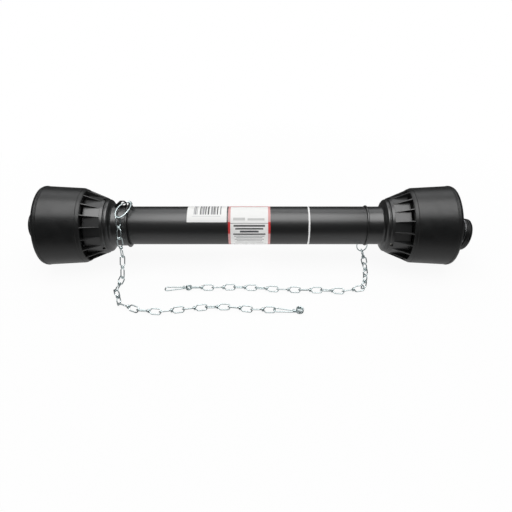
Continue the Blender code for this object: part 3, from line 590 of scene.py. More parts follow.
def bell_shell():
    """The drum with its rolled rim, its foot and the wall that closes the cone's pockets."""
    return rounded([
        (0.0862, RIM_AT, 0.0010), (RIM_R - 0.0022, RIM_AT, 0.0020), (RIM_R - 0.0004, RIM_AT - 0.0042, 0.0030),
        (RIM_R, RIM_AT - 0.0070, 0.0007), (RIM_R - 0.0001, RIM_AT - 0.0079, 0.0006),
        (RIM_R - 0.0014, RIM_AT - 0.0087, 0.0006), (RIM_R - 0.0009, RIM_AT - 0.0115, 0.0012),
        (0.0856, FOOT_AT + 0.0035, 0.0040), (0.0852, FOOT_AT - 0.0003, 0.0022),
        (0.0838, FOOT_AT - 0.0016, 0.0012), (0.0834, FOOT_AT - 0.0036, 0.0012),
        (0.0828, FOOT_AT - 0.0058, 0.0020),
        (CONE_R + 0.0006, CONE_AT + 0.0012, 0.0010), (CONE_R - 0.0004, CONE_AT, 0.0006),
        (0.0672, CONE_AT, 0.0004), (0.0672, CONE_AT + 0.0028, 0.0004), (0.0823, CONE_AT + 0.0052, 0.0010),
        (0.0868, RIM_AT - 0.0130, 0.0010), (0.0862, RIM_AT - 0.0085, 0.0008)], 4)


def cone_at(height):
    """The cone's outer radius at a station."""
    return CONE_NECK_R + CONE_SLOPE * (height - CONE_NECK_AT)


def bell_neck(neck_r, bore, lip):
    """The smooth band at the cone's small end, the shoulder and the neck with its lip."""
    return rounded([
        (cone_at(BAND_END) - 0.0002, BAND_END, 0.0006), (CONE_NECK_R, CONE_NECK_AT, 0.0010),
        (0.0600, CONE_NECK_AT - 0.0012, 0.0008), (0.0589, CONE_NECK_AT - 0.0025, 0.0009),
        (0.0600, CONE_NECK_AT - 0.0043, 0.0020), (0.0588, SEAT_NEAR, 0.0030),
        (0.0552, NECK_AT + 0.0038, 0.0024), (neck_r + 0.0034, NECK_AT + 0.0017, 0.0022),
        (neck_r, NECK_AT - 0.0013, 0.0034),
        (neck_r, NECK_END_AT + 0.0042, 0.0008), (neck_r + lip, NECK_END_AT + 0.0036, 0.0013),
        (neck_r + lip, NECK_END_AT + 0.0002, 0.0013), (bore, NECK_END_AT, 0.0004), (bore, SEAT_NEAR, 0),
        (SEAT_R, SEAT_NEAR, 0), (SEAT_R, SEAT_FAR, 0), (0.0600, SEAT_FAR, 0), (0.0606, BAND_END, 0)], 4)


def stave(count, rib):
    """One rib and the flat floor beside it: the floor stops short of the drum, which leaves the vent."""
    step = 2 * pi / count
    near, far = BAND_END - 0.0010, CONE_AT - 0.0032
    top = cone_at(BAND_END) - 0.0004
    foot = POCKET_FOOT_R - 0.0002
    floor = rounded([(top - WALL, near, 0), (top, near, 0), (foot, far, 0.0008),
                     (foot - WALL, far, 0.0005)], 2)
    work = bmesh.new()
    rings = []
    for share in (0, 0.25, 0.5, 0.75, 1):
        rings.append([work.verts.new((r * (1 - share + share * cos(step)), r * share * sin(step), h))
                      for r, h in floor])
    for a, b in zip(rings, rings[1:]):
        for i in range(len(floor)):
            m = (i + 1) % len(floor)
            work.faces.new((a[i], a[m], b[m], b[i]))
    work.faces.new(rings[0])
    work.faces.new(rings[-1][::-1])
    base = POCKET_FOOT_R - WALL
    fin = rounded([(top - WALL, near, 0), (top + 0.0002, near, 0.0006), (CONE_R - 0.0002, CONE_AT, 0),
                   (CONE_R - 0.0010, CONE_AT + 0.002, 0), (base, CONE_AT + 0.002, 0)], 3)
    blade = plate([fin], -rib / 2, rib / 2, Matrix.Rotation(pi / 2, 4, "X"), 0.0005)
    for vertex in blade.vertices:
        share = min(max((vertex.co.z - near) / (CONE_AT - near), 0), 1)
        vertex.co.y *= 0.5 + 0.5 * share
    return together([closed(work), blade])


class DRIVE_SHAFT_OT_guard_bells(bpy.types.Operator):
    """Both guard bells: drum, ribbed cone, neck and the lug for the chain"""
    bl_idname = "drive_shaft.guard_bells"
    bl_label = "Guard bells"

    def execute(self, context):
        sizes = context.scene.drive_shaft_sizes
        ribs = ring_tree()
        plastic, glossy = "black_guard_plastic", "glossy_guard_plastic"
        for name, side in SIDES.items():
            out = HOME @ along(side["side"])
            bore = side["tube"] + GAP
            neck_r = bore + WALL - GAP
            phase = turn_for(side["side"], side["ribs"])
            cage = grown(stave(sizes.rib_count, sizes.rib_thickness), ribs,
                         {"Count": sizes.rib_count, "Phase": phase, "Material": finish_called(plastic)})
            cage.transform(out)
            neck = carved(turned(bell_neck(neck_r, bore, side["lip"]), FINE, out),
                          [box_mesh(TAB_WINDOW, place) for place in tab_places(side, *TAB_WINDOW_AT)])
            lug = left_lug(neck_r) if name == "left" else right_lug(neck_r)
            lug.transform(HOME)
            drum = turned(bell_shell(), FINE, out)
            dress(name + "_bell_drum", drum, side["body"], plastic, [name + "_guard_bell"])
            dress(name + "_bell_ribs", cage, side["body"], plastic, finish_name=glossy)
            dress(name + "_bell_neck", neck, side["body"], plastic, finish_name=glossy)
            dress(name + "_chain_lug", lug, side["body"], plastic)
        return {"FINISHED"}


LUG_HIGH = 0.0145
LUG_HALF = 0.0025
LEFT_LUG_FROM = 0.272
LEFT_LUG_TO = 0.300
LEFT_LUG_ANGLE = radians(95)
LEFT_LUG_HOLE_AT = 0.2796
LEFT_LUG_HOLE = (0.0545, 0.0050)
RIGHT_LUG_ANGLE = radians(-105)
RIGHT_LUG_AT = 0.2735
RIGHT_LUG_HOLE = (0.0507, 0.0024)


def left_lug(neck_r):
    """An upright arch on the neck, with a hole through it for the ring."""
    height = neck_r + LUG_HIGH
    base = neck_r - WALL / 2
    outline = rounded([(LEFT_LUG_FROM, base, 0), (LEFT_LUG_FROM, height - 0.005, 0.004),
                       (LEFT_LUG_FROM + 0.005, height, 0.004), (LEFT_LUG_TO - 0.013, height, 0.005),
                       (LEFT_LUG_TO, base + 0.004, 0.004), (LEFT_LUG_TO, base, 0)], 6)
    hole = arc(LEFT_LUG_HOLE[1], 32, at=(LEFT_LUG_HOLE_AT, LEFT_LUG_HOLE[0]))
    stand = Matrix.Rotation(pi / 2 - LEFT_LUG_ANGLE, 4, "X") @ Matrix(
        ((-1, 0, 0, 0), (0, 0, 1, 0), (0, 1, 0, 0), (0, 0, 0, 1)))
    return plate([outline, hole], -LUG_HALF, LUG_HALF, stand, 0.0008)


def right_lug(neck_r):
    """A small plate across the shaft under the neck, with a hole for the ring."""
    at, radius = RIGHT_LUG_HOLE
    top = at + radius + 0.0032
    base = neck_r - WALL / 2
    outline = rounded([(base, -0.007, 0), (at, -0.006, 0.003), (top, -0.0028, 0.003), (top, 0.0028, 0.003),
                       (at, 0.006, 0.003), (base, 0.007, 0)], 6)
    hole = arc(radius, 32, at=(at, 0))
    stand = along(1) @ Matrix.Rotation(turn_for(1, RIGHT_LUG_ANGLE), 4, "Z")
    return plate([outline, hole], RIGHT_LUG_AT - LUG_HALF, RIGHT_LUG_AT + LUG_HALF, stand, 0.0007)


class DRIVE_SHAFT_OT_guard_tubes(bpy.types.Operator):
    """The two guard tubes that slide in each other, and the bearing rings in the bells"""
    bl_idname = "drive_shaft.guard_tubes"
    bl_label = "Guard tubes"

    def execute(self, context):
        for name, radius, low, high in (
                ("outer_guard", OUTER_TUBE_R, -OUTER_TUBE_END, NECK_END_AT - GAP),
                ("inner_guard", INNER_TUBE_R, INNER_TUBE_END - INNER_TUBE_LENGTH, INNER_TUBE_END)):
            bore = radius - TUBE_WALL
            outline = rounded([(radius, high, 0.0004), (radius, low, 0.0004), (bore, low, 0.0004),
                               (bore, high, 0.0004)], 2)
            dress(name + "_tube_skin", turned(outline, FINE, HOME @ along(1)), name, "black_guard_plastic",
                  [name + "_tube"], "guard_tube_plastic")
        for name, side in SIDES.items():
            outer, near, far = SEAT_R - GAP, SEAT_NEAR + GAP, SEAT_FAR - GAP
            outline = rounded([(outer, far, 0.0004), (outer, near, 0.0004), (RING_BORE_R, near, 0.0006),
                               (RING_BORE_R, far, 0.0006)], 2)
            tabs = [box_mesh(TAB, place) for place in tab_places(side, *TAB_AT)]
            ring = together([turned(outline, FINE, HOME @ along(side["side"])), *tabs])
            dress(name + "_nylon_ring", ring, side["body"], "white_nylon", [name + "_bearing_ring"])
        return {"FINISHED"}


# Stickers

# From and to along X, from and to round the shaft
WHITE_STICKER = (-0.1350, -0.0460, radians(39.5), radians(170))
BANDED_STICKER = (-0.0428, 0.0516, radians(-110), radians(200))
STRIPE_AT = 0.1383
STAND_OFF = 0.00002           # a sticker's back over the tube
PAINT_HIGH = 0.00012
GREY = (0.10, 0.10, 0.105)
PALE = (0.34, 0.34, 0.35)
FAINT = (0.60, 0.60, 0.60)
# Start, width and colour of the first sticker's bars
BARS = ((0.17, 0.020, PALE), (0.20, 0.034, PALE), (0.25, 0.010, GREY), (0.325, 0.028, GREY),
        (0.365, 0.012, GREY), (0.390, 0.048, PALE), (0.455, 0.030, GREY), (0.520, 0.038, GREY),
        (0.600, 0.050, PALE), (0.665, 0.030, GREY), (0.705, 0.014, GREY), (0.750, 0.030, GREY),
        (0.830, 0.030, PALE))
# Middle, half height, inset and colour of the second sticker's rows
ROWS = ((0.449, 0.0085, 0.13, GREY), (0.421, 0.0075, 0.17, GREY), (0.394, 0.0095, 0.28, GREY),
        (0.367, 0.0075, 0.12, GREY), (0.345, 0.0040, 0.14, PALE), (0.326, 0.0040, 0.19, PALE),
        (0.306, 0.0040, 0.15, PALE), (0.284, 0.0040, 0.20, PALE), (0.258, 0.0040, 0.16, PALE))


def patch(x_from, x_to, angle_from, angle_to, thickness):
    """A thin curved plate on the outer guard tube, mapped flat."""
    across, steps = 8, 72
    work = bmesh.new()
    layer = work.loops.layers.uv.new("flat")
    spots = {}
    grids = []
    for radius in (OUTER_TUBE_R + STAND_OFF, OUTER_TUBE_R + thickness):
        grid = []
        for i in range(steps + 1):
            y, z = on_ring(angle_from + (angle_to - angle_from) * i / steps, radius)
            row = [work.verts.new((x_from + (x_to - x_from) * k / across, y, z)) for k in range(across + 1)]
            spots.update({vertex: (k / across, i / steps) for k, vertex in enumerate(row)})
            grid.append(row)
        grids.append(grid)
    low, high = grids
    for i in range(steps):
        for k in range(across):
            for grid in grids:
                work.faces.new((grid[i][k], grid[i][k + 1], grid[i + 1][k + 1], grid[i + 1][k]))
        for k in (0, across):
            work.faces.new((low[i][k], low[i + 1][k], high[i + 1][k], high[i][k]))
    for k in range(across):
        for i in (0, steps):
            work.faces.new((low[i][k], low[i][k + 1], high[i][k + 1], high[i][k]))
    for face in work.faces:
        for loop in face.loops:
            loop[layer].uv = spots[loop.vert]
    bmesh.ops.recalc_face_normals(work, faces=work.faces)
    mesh = shape_of(work)
    mesh.transform(HOME)
    return mesh


def barred_fields():
    """Upright bars of several widths over one faint row."""
    bars = [((start, start + width, 0.190, 0.72), tint) for start, width, tint in BARS]
    return bars + [((0.13, 0.84, 0.138, 0.150), FAINT)]


def banded_fields(paper, edge):
    """Side bands, painted paler as painted sheen and reflection where they turn off the front; a cross band,
    a rule and plain rows.
    """
    side = 0.055
    # Paler red of the side bands where they turn off the front: painted sheen and painted reflection
    painted_sheen_edge = tuple(0.62 * c + 0.38 * p for c, p in zip(edge, paper))
    soft = tuple(0.66 * c for c in paper)
    fields = [((0, side, 0, 1), edge), ((1 - side, 1, 0, 1), edge), ((0, 1, 0.696, 0.722), edge)]
    for low, high in ((0.0, 0.372), (0.485, 1.0)):
        fields += [((0, side, low, high), painted_sheen_edge), ((1 - side, 1, low, high), painted_sheen_edge)]
    fields += [((side, 1 - side, 0.4690, 0.4755), PALE), ((0.12, 0.40, 0.500, 0.528), soft),
               ((0.46, 0.86, 0.500, 0.522), soft)]
    return fields + [((inset, 1 - inset, middle - half, middle + half), tint)
                     for middle, half, inset, tint in ROWS]


class DRIVE_SHAFT_OT_stickers(bpy.types.Operator):
    """The two stickers, with plain fields of colour, and the white ring round the guard tube"""
    bl_idname = "drive_shaft.stickers"
    bl_label = "Stickers and stripe"

    def execute(self, context):
        sizes = context.scene.drive_shaft_sizes
        colours = context.scene.drive_shaft_colours
        paper = tuple(colours.paper)
        banded = banded_fields(paper, tuple(colours.edge))
        for name, span, fields in (("white_sticker", WHITE_STICKER, barred_fields()),
                                   ("banded_sticker", BANDED_STICKER, banded)):
            FINISHES[name] = sticker_finish(name, paper, fields)
            dress(name, patch(*span, sizes.sticker_thickness), "outer_guard", "white_nylon", (), name, 60)
        near, far = STRIPE_AT - sizes.stripe_width / 2, STRIPE_AT + sizes.stripe_width / 2
        low, high = OUTER_TUBE_R + STAND_OFF, OUTER_TUBE_R + PAINT_HIGH
        outline = rounded([(low, near, 0), (high, near, 0.00004), (high, far, 0.00004), (low, far, 0)], 2)
        ring = turned(outline, FINE, HOME @ along(1))
        dress("white_stripe", ring, "outer_guard", "white_nylon", (), "stripe_paint")
        return {"FINISHED"}


# Drive line

JOINT_LEFT = 0.396            # from the guard's middle to each cross
JOINT_RIGHT = 0.402
DROOP = radians(13.6)         # the right end yoke hangs this far down
CAP_R = 0.0151
CAP_LENGTH = 0.022
CAP_WALL = 0.0038
CAP_END = 0.0035
CROSS_SPAN = 0.092
JOURNAL_SEAL_R = 0.0135
EAR_R = 0.0215
EAR_IN = 0.0245
EAR_OUT = 0.0445
EAR_BASE = 0.027
FORGED_EDGE = 0.004           # how far an ear runs into its hub, and its narrowing there
HUB_ROOT = 0.050
HUB_R = 0.039
HUB_GROOVE_R = 0.036          # under the bearing ring
HUB_NOSE_R = 0.034
HUB_NOSE_AT = 0.292
FLANGE_AT = 0.305
PROFILE_MID = 0.0248          # three-lobed tube, mean outside radius
PROFILE_LOBE = 0.0022
PROFILE_WALL = 0.004
YOKE_ROOT = 0.044
END_HUB_R = 0.031
LEFT_HUB_END = 0.098
RIGHT_HUB_END = 0.108
SPLINES = 6
SPLINE_SHARE = 0.30
SPLINE_MINOR = 0.0148
SPLINE_MAJOR = 0.0174
PAST = 0.01                   # how far a cutting tool runs out of its piece
VOXEL = 0.0011


def ear_outline(root, base):
    """One ear seen along its cap: round about the cap, running out to the hub."""
    lean = asin((EAR_R - base) / root) if base < EAR_R else -asin((base - EAR_R) / root)
    return [(-root, base), (-root, -base), *arc(EAR_R, 32, -pi / 2 - lean, pi + 2 * lean)]


def rod(radius, low, high, steps, matrix):
    return turned([(0, high), (radius, high), (radius, low), (0, low)], steps, matrix)


def spline_outline():
    """Grooves in a round bore."""
    points = []
    step = 2 * pi / SPLINES
    groove = step * SPLINE_SHARE
    land = step / 2 - groove
    for i in range(SPLINES):
        middle = i * step
        points += arc(SPLINE_MINOR, 4, middle - step / 2, land)
        points += arc(SPLINE_MAJOR, 6, middle - groove * 0.9, groove * 1.8)
        points += arc(SPLINE_MINOR, 4, middle + groove, land)[:-1]
    return points


def end_yoke(hub_end):
    """The splined hub and its two ears above and below, forged and then bored."""
    outward = Matrix.Rotation(pi / 2, 4, "Y")
    hub = turned([
        (0, hub_end), (END_HUB_R - 0.0015, hub_end), (END_HUB_R, hub_end - 0.0015),
        (END_HUB_R, YOKE_ROOT + 0.003), (END_HUB_R - 0.004, YOKE_ROOT), (0, YOKE_ROOT)], 96, outward)
    half = EAR_BASE - FORGED_EDGE
    shapes = [plate([ear_outline(YOKE_ROOT + FORGED_EDGE, half)], EAR_IN, EAR_OUT,
                    Matrix.Rotation(pi, 4, "Z") @ Matrix.Rotation(turn, 4, "X"), 0.0012) for turn in (pi, 0)]
    low, high = YOKE_ROOT, YOKE_ROOT + 0.012
    web = [(low, -EAR_OUT), (high, -END_HUB_R), (high, END_HUB_R), (low, EAR_OUT)]
    shapes.append(plate([web], -half, half, Matrix.Rotation(pi / 2, 4, "X"), 0.001))
    body = softened(carved(hub, shapes, "UNION"), VOXEL, 6)
    reach = EAR_OUT + PAST
    mouth = [(0, hub_end + 0.002), (SPLINE_MAJOR + 0.0016, hub_end + 0.002),
             (SPLINE_MAJOR - 0.0022, hub_end - 0.0018), (0, hub_end - 0.0018)]
    for bore in (rod(CAP_R + GAP, -reach, reach, 64, Matrix()),
                 plate([spline_outline()], YOKE_ROOT - PAST, hub_end + PAST, outward, 0.0),
                 turned(mouth, 64, outward)):
        body = carved(body, [bore])
    return body


def tube_yoke(side, joint, tube_mean):
    """Hub on the profile tube, groove for the bearing ring, and two ears to front and back."""
    root = joint - HUB_ROOT
    hub = turned([
        (0, root), (HUB_R - 0.002, root), (HUB_R, root - 0.002), (HUB_R, SEAT_FAR), (HUB_GROOVE_R, SEAT_FAR),
        (HUB_GROOVE_R, SEAT_NEAR), (HUB_R, SEAT_NEAR), (HUB_R, FLANGE_AT), (HUB_NOSE_R, FLANGE_AT - 0.001),
        (HUB_NOSE_R, HUB_NOSE_AT), (0, HUB_NOSE_AT)], 96, along(side))
    middle = Matrix.Translation((side * joint, 0, 0))
    facing = Matrix.Rotation(pi, 4, "Z") if side < 0 else Matrix()
    shapes = [plate([ear_outline(HUB_ROOT + FORGED_EDGE, EAR_BASE)], EAR_IN, EAR_OUT,
                    middle @ facing @ Matrix.Rotation(sign * pi / 2, 4, "X"), 0.0012) for sign in (-1, 1)]
    body = softened(carved(hub, shapes, "UNION"), VOXEL, 5)
    reach = EAR_OUT + PAST
    low, high = sorted((side * (HUB_NOSE_AT - PAST), side * (root + PAST)))
    lobes = []
    for turn in (2 * pi * k / 72 for k in range(72)):
        radius = tube_mean + PROFILE_LOBE * cos(3 * turn)
        lobes.append((radius * cos(turn), radius * sin(turn)))
    for bore in (rod(CAP_R + GAP, -reach, reach, 64, middle @ Matrix.Rotation(pi / 2, 4, "X")),
                 plate([lobes], low, high, along(1), 0.0)):
        body = carved(body, [bore])
    return body


def cross_mesh(place):
    """Four journals on a rounded body, with the bearing seals, about the place's Y and Z."""
    journal = CAP_R - CAP_WALL - GAP
    reach = CROSS_SPAN / 2 - CAP_END - GAP
    shoulder = CROSS_SPAN / 2 - CAP_LENGTH - GAP
    outline = rounded(mirrored([(0, reach, 0), (journal, reach, 0.0006), (journal, shoulder, 0),
                                (JOURNAL_SEAL_R, shoulder, 0.001)]), 3)
    across = turned(outline, 64, place @ Matrix.Rotation(pi / 2, 4, "X"))
    return carved(turned(outline, 64, place), [across], "UNION")


def cap_mesh(place):
    """A cup over a journal, closed outwards, with a pressed rim, and the spring ring that holds it."""
    outer = CROSS_SPAN / 2
    low = outer - CAP_LENGTH
    inner = CAP_R - CAP_WALL
    outline = rounded([(0, outer - 0.0006, 0), (0.0085, outer - 0.0006, 0.0004), (0.0095, outer, 0.0004),
                       (CAP_R, outer, 0.0012), (CAP_R, low, 0.0006), (inner, low, 0.0004),
                       (inner, outer - CAP_END, 0.0004), (0, outer - CAP_END, 0)], 3)
    open_ring = arc(CAP_R - 0.0022, 40, radians(20), radians(320))
    spring = swept([(x, y, outer + 0.0001) for x, y in open_ring], 0.0007, False, 8)
    spring.transform(place)
    return together([turned(outline, 64, place), spring])


JOINTS = {
    "left": dict(
        frame=Matrix.Translation((-JOINT_LEFT, 0, 0)) @ Matrix.Rotation(pi, 4, "Z"), side=-1,
        joint=JOINT_LEFT, hub=LEFT_HUB_END, shaft="outer_shaft", mean=PROFILE_MID + GAP),
    "right": dict(
        frame=Matrix.Translation((JOINT_RIGHT, 0, 0)) @ Matrix.Rotation(DROOP, 4, "Y"), side=1,
        joint=JOINT_RIGHT, hub=RIGHT_HUB_END, shaft="inner_shaft", mean=PROFILE_MID - PROFILE_WALL - GAP),
}
CAP_TURNS = {"front": pi / 2, "back": -pi / 2, "top": 0, "bottom": pi}


class DRIVE_SHAFT_OT_universal_joints(bpy.types.Operator):
    """Crosses, bearing caps and forged yokes"""
    bl_idname = "drive_shaft.universal_joints"
    bl_label = "Universal joints"

    def execute(self, context):
        paint = "black_painted_steel"
        for name, joint in JOINTS.items():
            place = HOME @ joint["frame"]
            yoke = end_yoke(joint["hub"])
            yoke.transform(place)
            if name == "left":
                yoke = with_pin_boss(yoke, place)
            dress(name + "_forged_yoke", yoke, name + "_end_yoke", paint, [name + "_end_yoke"])
            inner = tube_yoke(joint["side"], joint["joint"], joint["mean"])
            inner.transform(HOME)
            dress(name + "_hub_yoke", inner, joint["shaft"], paint, [name + "_tube_yoke"])
            cross = cross_mesh(place)
            dress(name + "_journal_cross", cross, name + "_cross", "ground_steel", [name + "_cross"])
            for word, turn in CAP_TURNS.items():
                on_shaft = word in ("front", "back")
                facing = Matrix.Rotation(-turn if on_shaft and name == "left" else turn, 4, "X")
                body = joint["shaft"] if on_shaft else name + "_end_yoke"
                dress(f"{name}_{word}_bearing_cup", cap_mesh(place @ facing), body, "ground_steel",
                      [f"{name}_{word}_cap"])
        return {"FINISHED"}


LOCK_PIN_R = 0.005
LOCK_AT = LEFT_HUB_END - 0.020
LOCK_OFFSET = 0.0195
LOCK_HALF = 0.0285
LOCK_BOSS_R = 0.0095
COLLAR_R = 0.0365
COLLAR_GROOVE_R = 0.0343
COLLAR_FLANGE_R = 0.0395
COLLAR_LENGTH = 0.034
BALL_R = 0.0021
BALL_ANGLE = radians(13)


def pin_place(place):
    return place @ Matrix.Translation((LOCK_AT, 0, LOCK_OFFSET)) @ Matrix.Rotation(pi / 2, 4, "X")


def with_pin_boss(yoke, place):
    """The boss across the left hub, bored for its push pin."""
    stand = pin_place(place)
    boss = turned(rounded(mirrored([(0, LOCK_HALF, 0), (LOCK_BOSS_R, LOCK_HALF, 0.0012)]), 3), 64, stand)
    bore = rod(LOCK_PIN_R + GAP, -LOCK_HALF - PAST, LOCK_HALF + PAST, 48, stand)
    clear = plate([spline_outline()], YOKE_ROOT - PAST, LEFT_HUB_END + PAST,
                  place @ Matrix.Rotation(pi / 2, 4, "Y"), 0.0)
    return carved(carved(carved(yoke, [boss], "UNION"), [clear]), [bore])


def push_pin():
    """The pin with its wide head, through the boss."""
    head, foot = LOCK_HALF + 0.0110, -LOCK_HALF - 0.002
    outline = rounded([(0, head, 0), (0.0075, head, 0.0018), (0.0075, head - 0.0045, 0.0006),
                       (LOCK_PIN_R, head - 0.0045, 0.0004), (LOCK_PIN_R, foot, 0.0012), (0, foot, 0)], 4)
    return turned(outline, 64, pin_place(HOME @ JOINTS["left"]["frame"]))


def collar_outline(low, high):
    """The collar's section: a plain band, a scored line, the spring's groove and the grip flange."""
    return rounded([
        (COLLAR_R - 0.0018, high, 0.0006), (COLLAR_R, high - 0.002, 0.0008), (COLLAR_R, low + 0.0262, 0.0006),
        (COLLAR_R - 0.0008, low + 0.0255, 0.0003), (COLLAR_R, low + 0.0248, 0.0006),
        (COLLAR_R, low + 0.0215, 0.0008), (COLLAR_GROOVE_R, low + 0.0195, 0.0012),
        (COLLAR_GROOVE_R, low + 0.0142, 0.0015), (COLLAR_FLANGE_R, low + 0.0110, 0.0010),
        (COLLAR_FLANGE_R, low + 0.0060, 0.0010), (COLLAR_GROOVE_R, low + 0.0030, 0.0010),
        (COLLAR_GROOVE_R, low, 0.0006), (END_HUB_R + GAP, low, 0.0003), (END_HUB_R + GAP, high, 0.0005)], 3)


class DRIVE_SHAFT_OT_catches(bpy.types.Operator):
    """The left yoke's push pin and the right yoke's sliding collar"""
    bl_idname = "drive_shaft.catches"
    bl_label = "Push pin and collar"

    def execute(self, context):
        dress("push_pin", push_pin(), "left_lock_pin", "ground_steel", ["left_lock_pin"])
        place = HOME @ JOINTS["right"]["frame"] @ Matrix.Rotation(pi / 2, 4, "Y")
        high = RIGHT_HUB_END - 0.002
        low = high - COLLAR_LENGTH
        seat = Matrix.Translation((COLLAR_R, 0, low + 0.0282)) @ Matrix.Rotation(pi / 2, 4, "Y")
        spots = [place @ Matrix.Rotation(turn_for(1, BALL_ANGLE) + 2 * pi * k / 3, 4, "Z") @ seat
                 for k in range(3)]
        collar = carved(turned(collar_outline(low, high), 96, place),
                        [rod(BALL_R + 0.0013, -0.0030, 0.004, 40, spot) for spot in spots])
        dress("sliding_collar", collar, "right_lock_collar", "black_painted_steel", ["right_lock_collar"])
        ball = rounded([(0, -0.0010, 0), (BALL_R * 0.55, -0.0012, 0.0006), (BALL_R, -0.0019, 0.0008),
                        (BALL_R, -0.0029, 0), (0, -0.0029, 0)], 5)
        for k, spot in enumerate(spots):
            dress(f"collar_ball_{k + 1}", turned(ball, 40, spot), "right_lock_collar", "spring_steel")
        open_ring = arc(COLLAR_GROOVE_R + 0.0008, 96, radians(12), radians(336))
        ring = swept([(x, y, low + 0.0172) for x, y in open_ring], 0.0008, False, 10)
        ring.transform(place)
        dress("collar_spring_ring", ring, "right_lock_collar", "ground_steel")
        return {"FINISHED"}


KEPT_SOLIDS = {"outer_profile_tube": "drawn_steel", "inner_profile_tube": "drawn_steel",
               "left_spring_pin": "spring_steel", "right_spring_pin": "spring_steel",
               "left_grease_nipple": "brass", "right_grease_nipple": "brass"}


class DRIVE_SHAFT_OT_drive_tubes(bpy.types.Operator):
    """Finishes on the profile tubes, the spring pins and the nipples, whose solids are shown as they are"""
    bl_idname = "drive_shaft.drive_tubes"
    bl_label = "Drive tubes and pins"

    def execute(self, context):
        for name, finish_name in KEPT_SOLIDS.items():
            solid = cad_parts[name]
            solid.data.materials.clear()
            solid.data.materials.append(finish_called(finish_name))
        return {"FINISHED"}


# Chains

WIRE_R = 0.0013
PITCH = 0.0475
HOLD = 2 * WIRE_R + 0.00045   # between the middles of two wires that hang in each other
LOOP_R = 0.0059               # half a link's width
KNOT_HALF = 0.0031
KNOT_R = 0.0041 - WIRE_R * 0.9
LINK_ROLL = radians(8)
FIRST_ROLL = radians(30)
LAID = FLOOR + LOOP_R * sin(pi / 4 + LINK_ROLL) + WIRE_R + GAP     # height of a link that lies on the floor
RING_WIRE_R = {"left": 0.0016, "right": WIRE_R}
RIGHT_RING_HALF = 0.0122      # half a ring's width along the shaft
LEFT_RING_HALF = 0.0136
LEFT_RING_LEAN = 0.0070       # how far the left ring's top leans along the shaft
LEFT_RING_SPAN = (radians(48.4), radians(101))    # its two ends round the shaft
LEFT_RING_R = 0.0522          # its least distance from the axis
LEFT_RING_AT = 0.2769
LEFT_RING_HOLD = (-0.2852, -0.0354, 0.0421)
RIGHT_RING_HOLD = (0.2755, 0.0140, -0.0785)
LEFT_ROUTE = [
    LEFT_RING_HOLD, (-0.2810, -0.0635, 0.0038), (-0.2810, -0.0640, -0.0437), (-0.2815, -0.0878, LAID),
    (-0.2855, -0.134, LAID), (-0.272, -0.176, LAID), (-0.255, -0.193, LAID), (-0.235, -0.1985, LAID),
    (-0.200, -0.2089, LAID), (-0.160, -0.2052, LAID), (-0.110, -0.193, LAID), (-0.060, -0.190, LAID),
    (-0.030, -0.191, LAID), (-0.005, -0.196, LAID), (0.015, -0.1998, LAID), (0.120, -0.2005, LAID)]
RIGHT_ROUTE = [
    RIGHT_RING_HOLD, (0.274, -0.0330, LAID), (0.268, -0.080, LAID), (0.261, -0.118, LAID),
    (0.246, -0.137, LAID), (0.225, -0.143, LAID), (0.203, -0.136, LAID), (0.160, -0.134, LAID),
    (0.113, -0.133, LAID), (0.090, -0.127, LAID), (0.067, -0.131, LAID), (0.043, -0.127, LAID),
    (-0.048, -0.122, LAID), (-0.095, -0.127, LAID), (-0.200, -0.118, LAID)]
EYE_R = 0.0058
HOOK_LENGTH = 0.047
HOOKS = {"left": dict(eye_r=0.0069, turns=3.25, low_coil=0.0006, half_width=0.0064),
         "right": dict(eye_r=EYE_R, turns=2.25, low_coil=-0.0028, half_width=0.0070)}
CHAINS = {"left": dict(route=LEFT_ROUTE, links=12), "right": dict(route=RIGHT_ROUTE, links=11)}
UP = Vector((0, 0, 1))


def holds_on(route, count):
    """Holds at one pitch from each other along a route of straight stretches."""
    holds = [Vector(route[0])]
    fine = []
    for start, stop in zip(route, route[1:]):
        start, stop = Vector(start), Vector(stop)
        fine += [start.lerp(stop, i / 200) for i in range(200)]
    fine.append(Vector(route[-1]))
    reach = 0
    while len(holds) <= count:
        while (fine[reach] - holds[-1]).length < PITCH:
            reach += 1
        holds.append(holds[-1] + (fine[reach] - holds[-1]).normalized() * PITCH)
    return holds


def lying_frame(start, stop, up, roll):
    """A frame midway between two holds, its X along them and its Z near the given way up."""
    ahead = (stop - start).normalized()
    side = up.cross(ahead).normalized()
    top = ahead.cross(side)
    turn = Matrix((ahead, side, top)).transposed().to_4x4()
    return Matrix.Translation((start + stop) / 2) @ turn @ Matrix.Rotation(roll, 4, "X")


def coil(start, stop, half_width, half_height, turns, steps, lift=0.0):
    """Points of a coil about X, its middle line raised by the lift."""
    return [(start + (stop - start) * k / steps, half_width * cos(2 * pi * turns * k / steps),
             lift + half_height * sin(2 * pi * turns * k / steps)) for k in range(steps + 1)]


def link_shape(turns):
    """A link bent from one wire: two long loops square to each other, tied by turns of the wire."""
    corners = mirrored([(0.0016, 0.0010, 0.0005), (0.0058, LOOP_R, 0.0030),
                        ((PITCH + HOLD) / 2, LOOP_R, 0.0046)])
    one = swept([(x, y, 0) for x, y in rounded(corners, 6)], WIRE_R, True, 10)
    two = one.copy()
    two.transform(Matrix.Rotation(pi, 4, "Z") @ Matrix.Rotation(pi / 2, 4, "X"))
    knot = coil(WIRE_R - KNOT_HALF, KNOT_HALF - WIRE_R, KNOT_R, KNOT_R, turns, 14 * turns + 2)
    return together([one, two, swept(knot, WIRE_R, False, 10)])


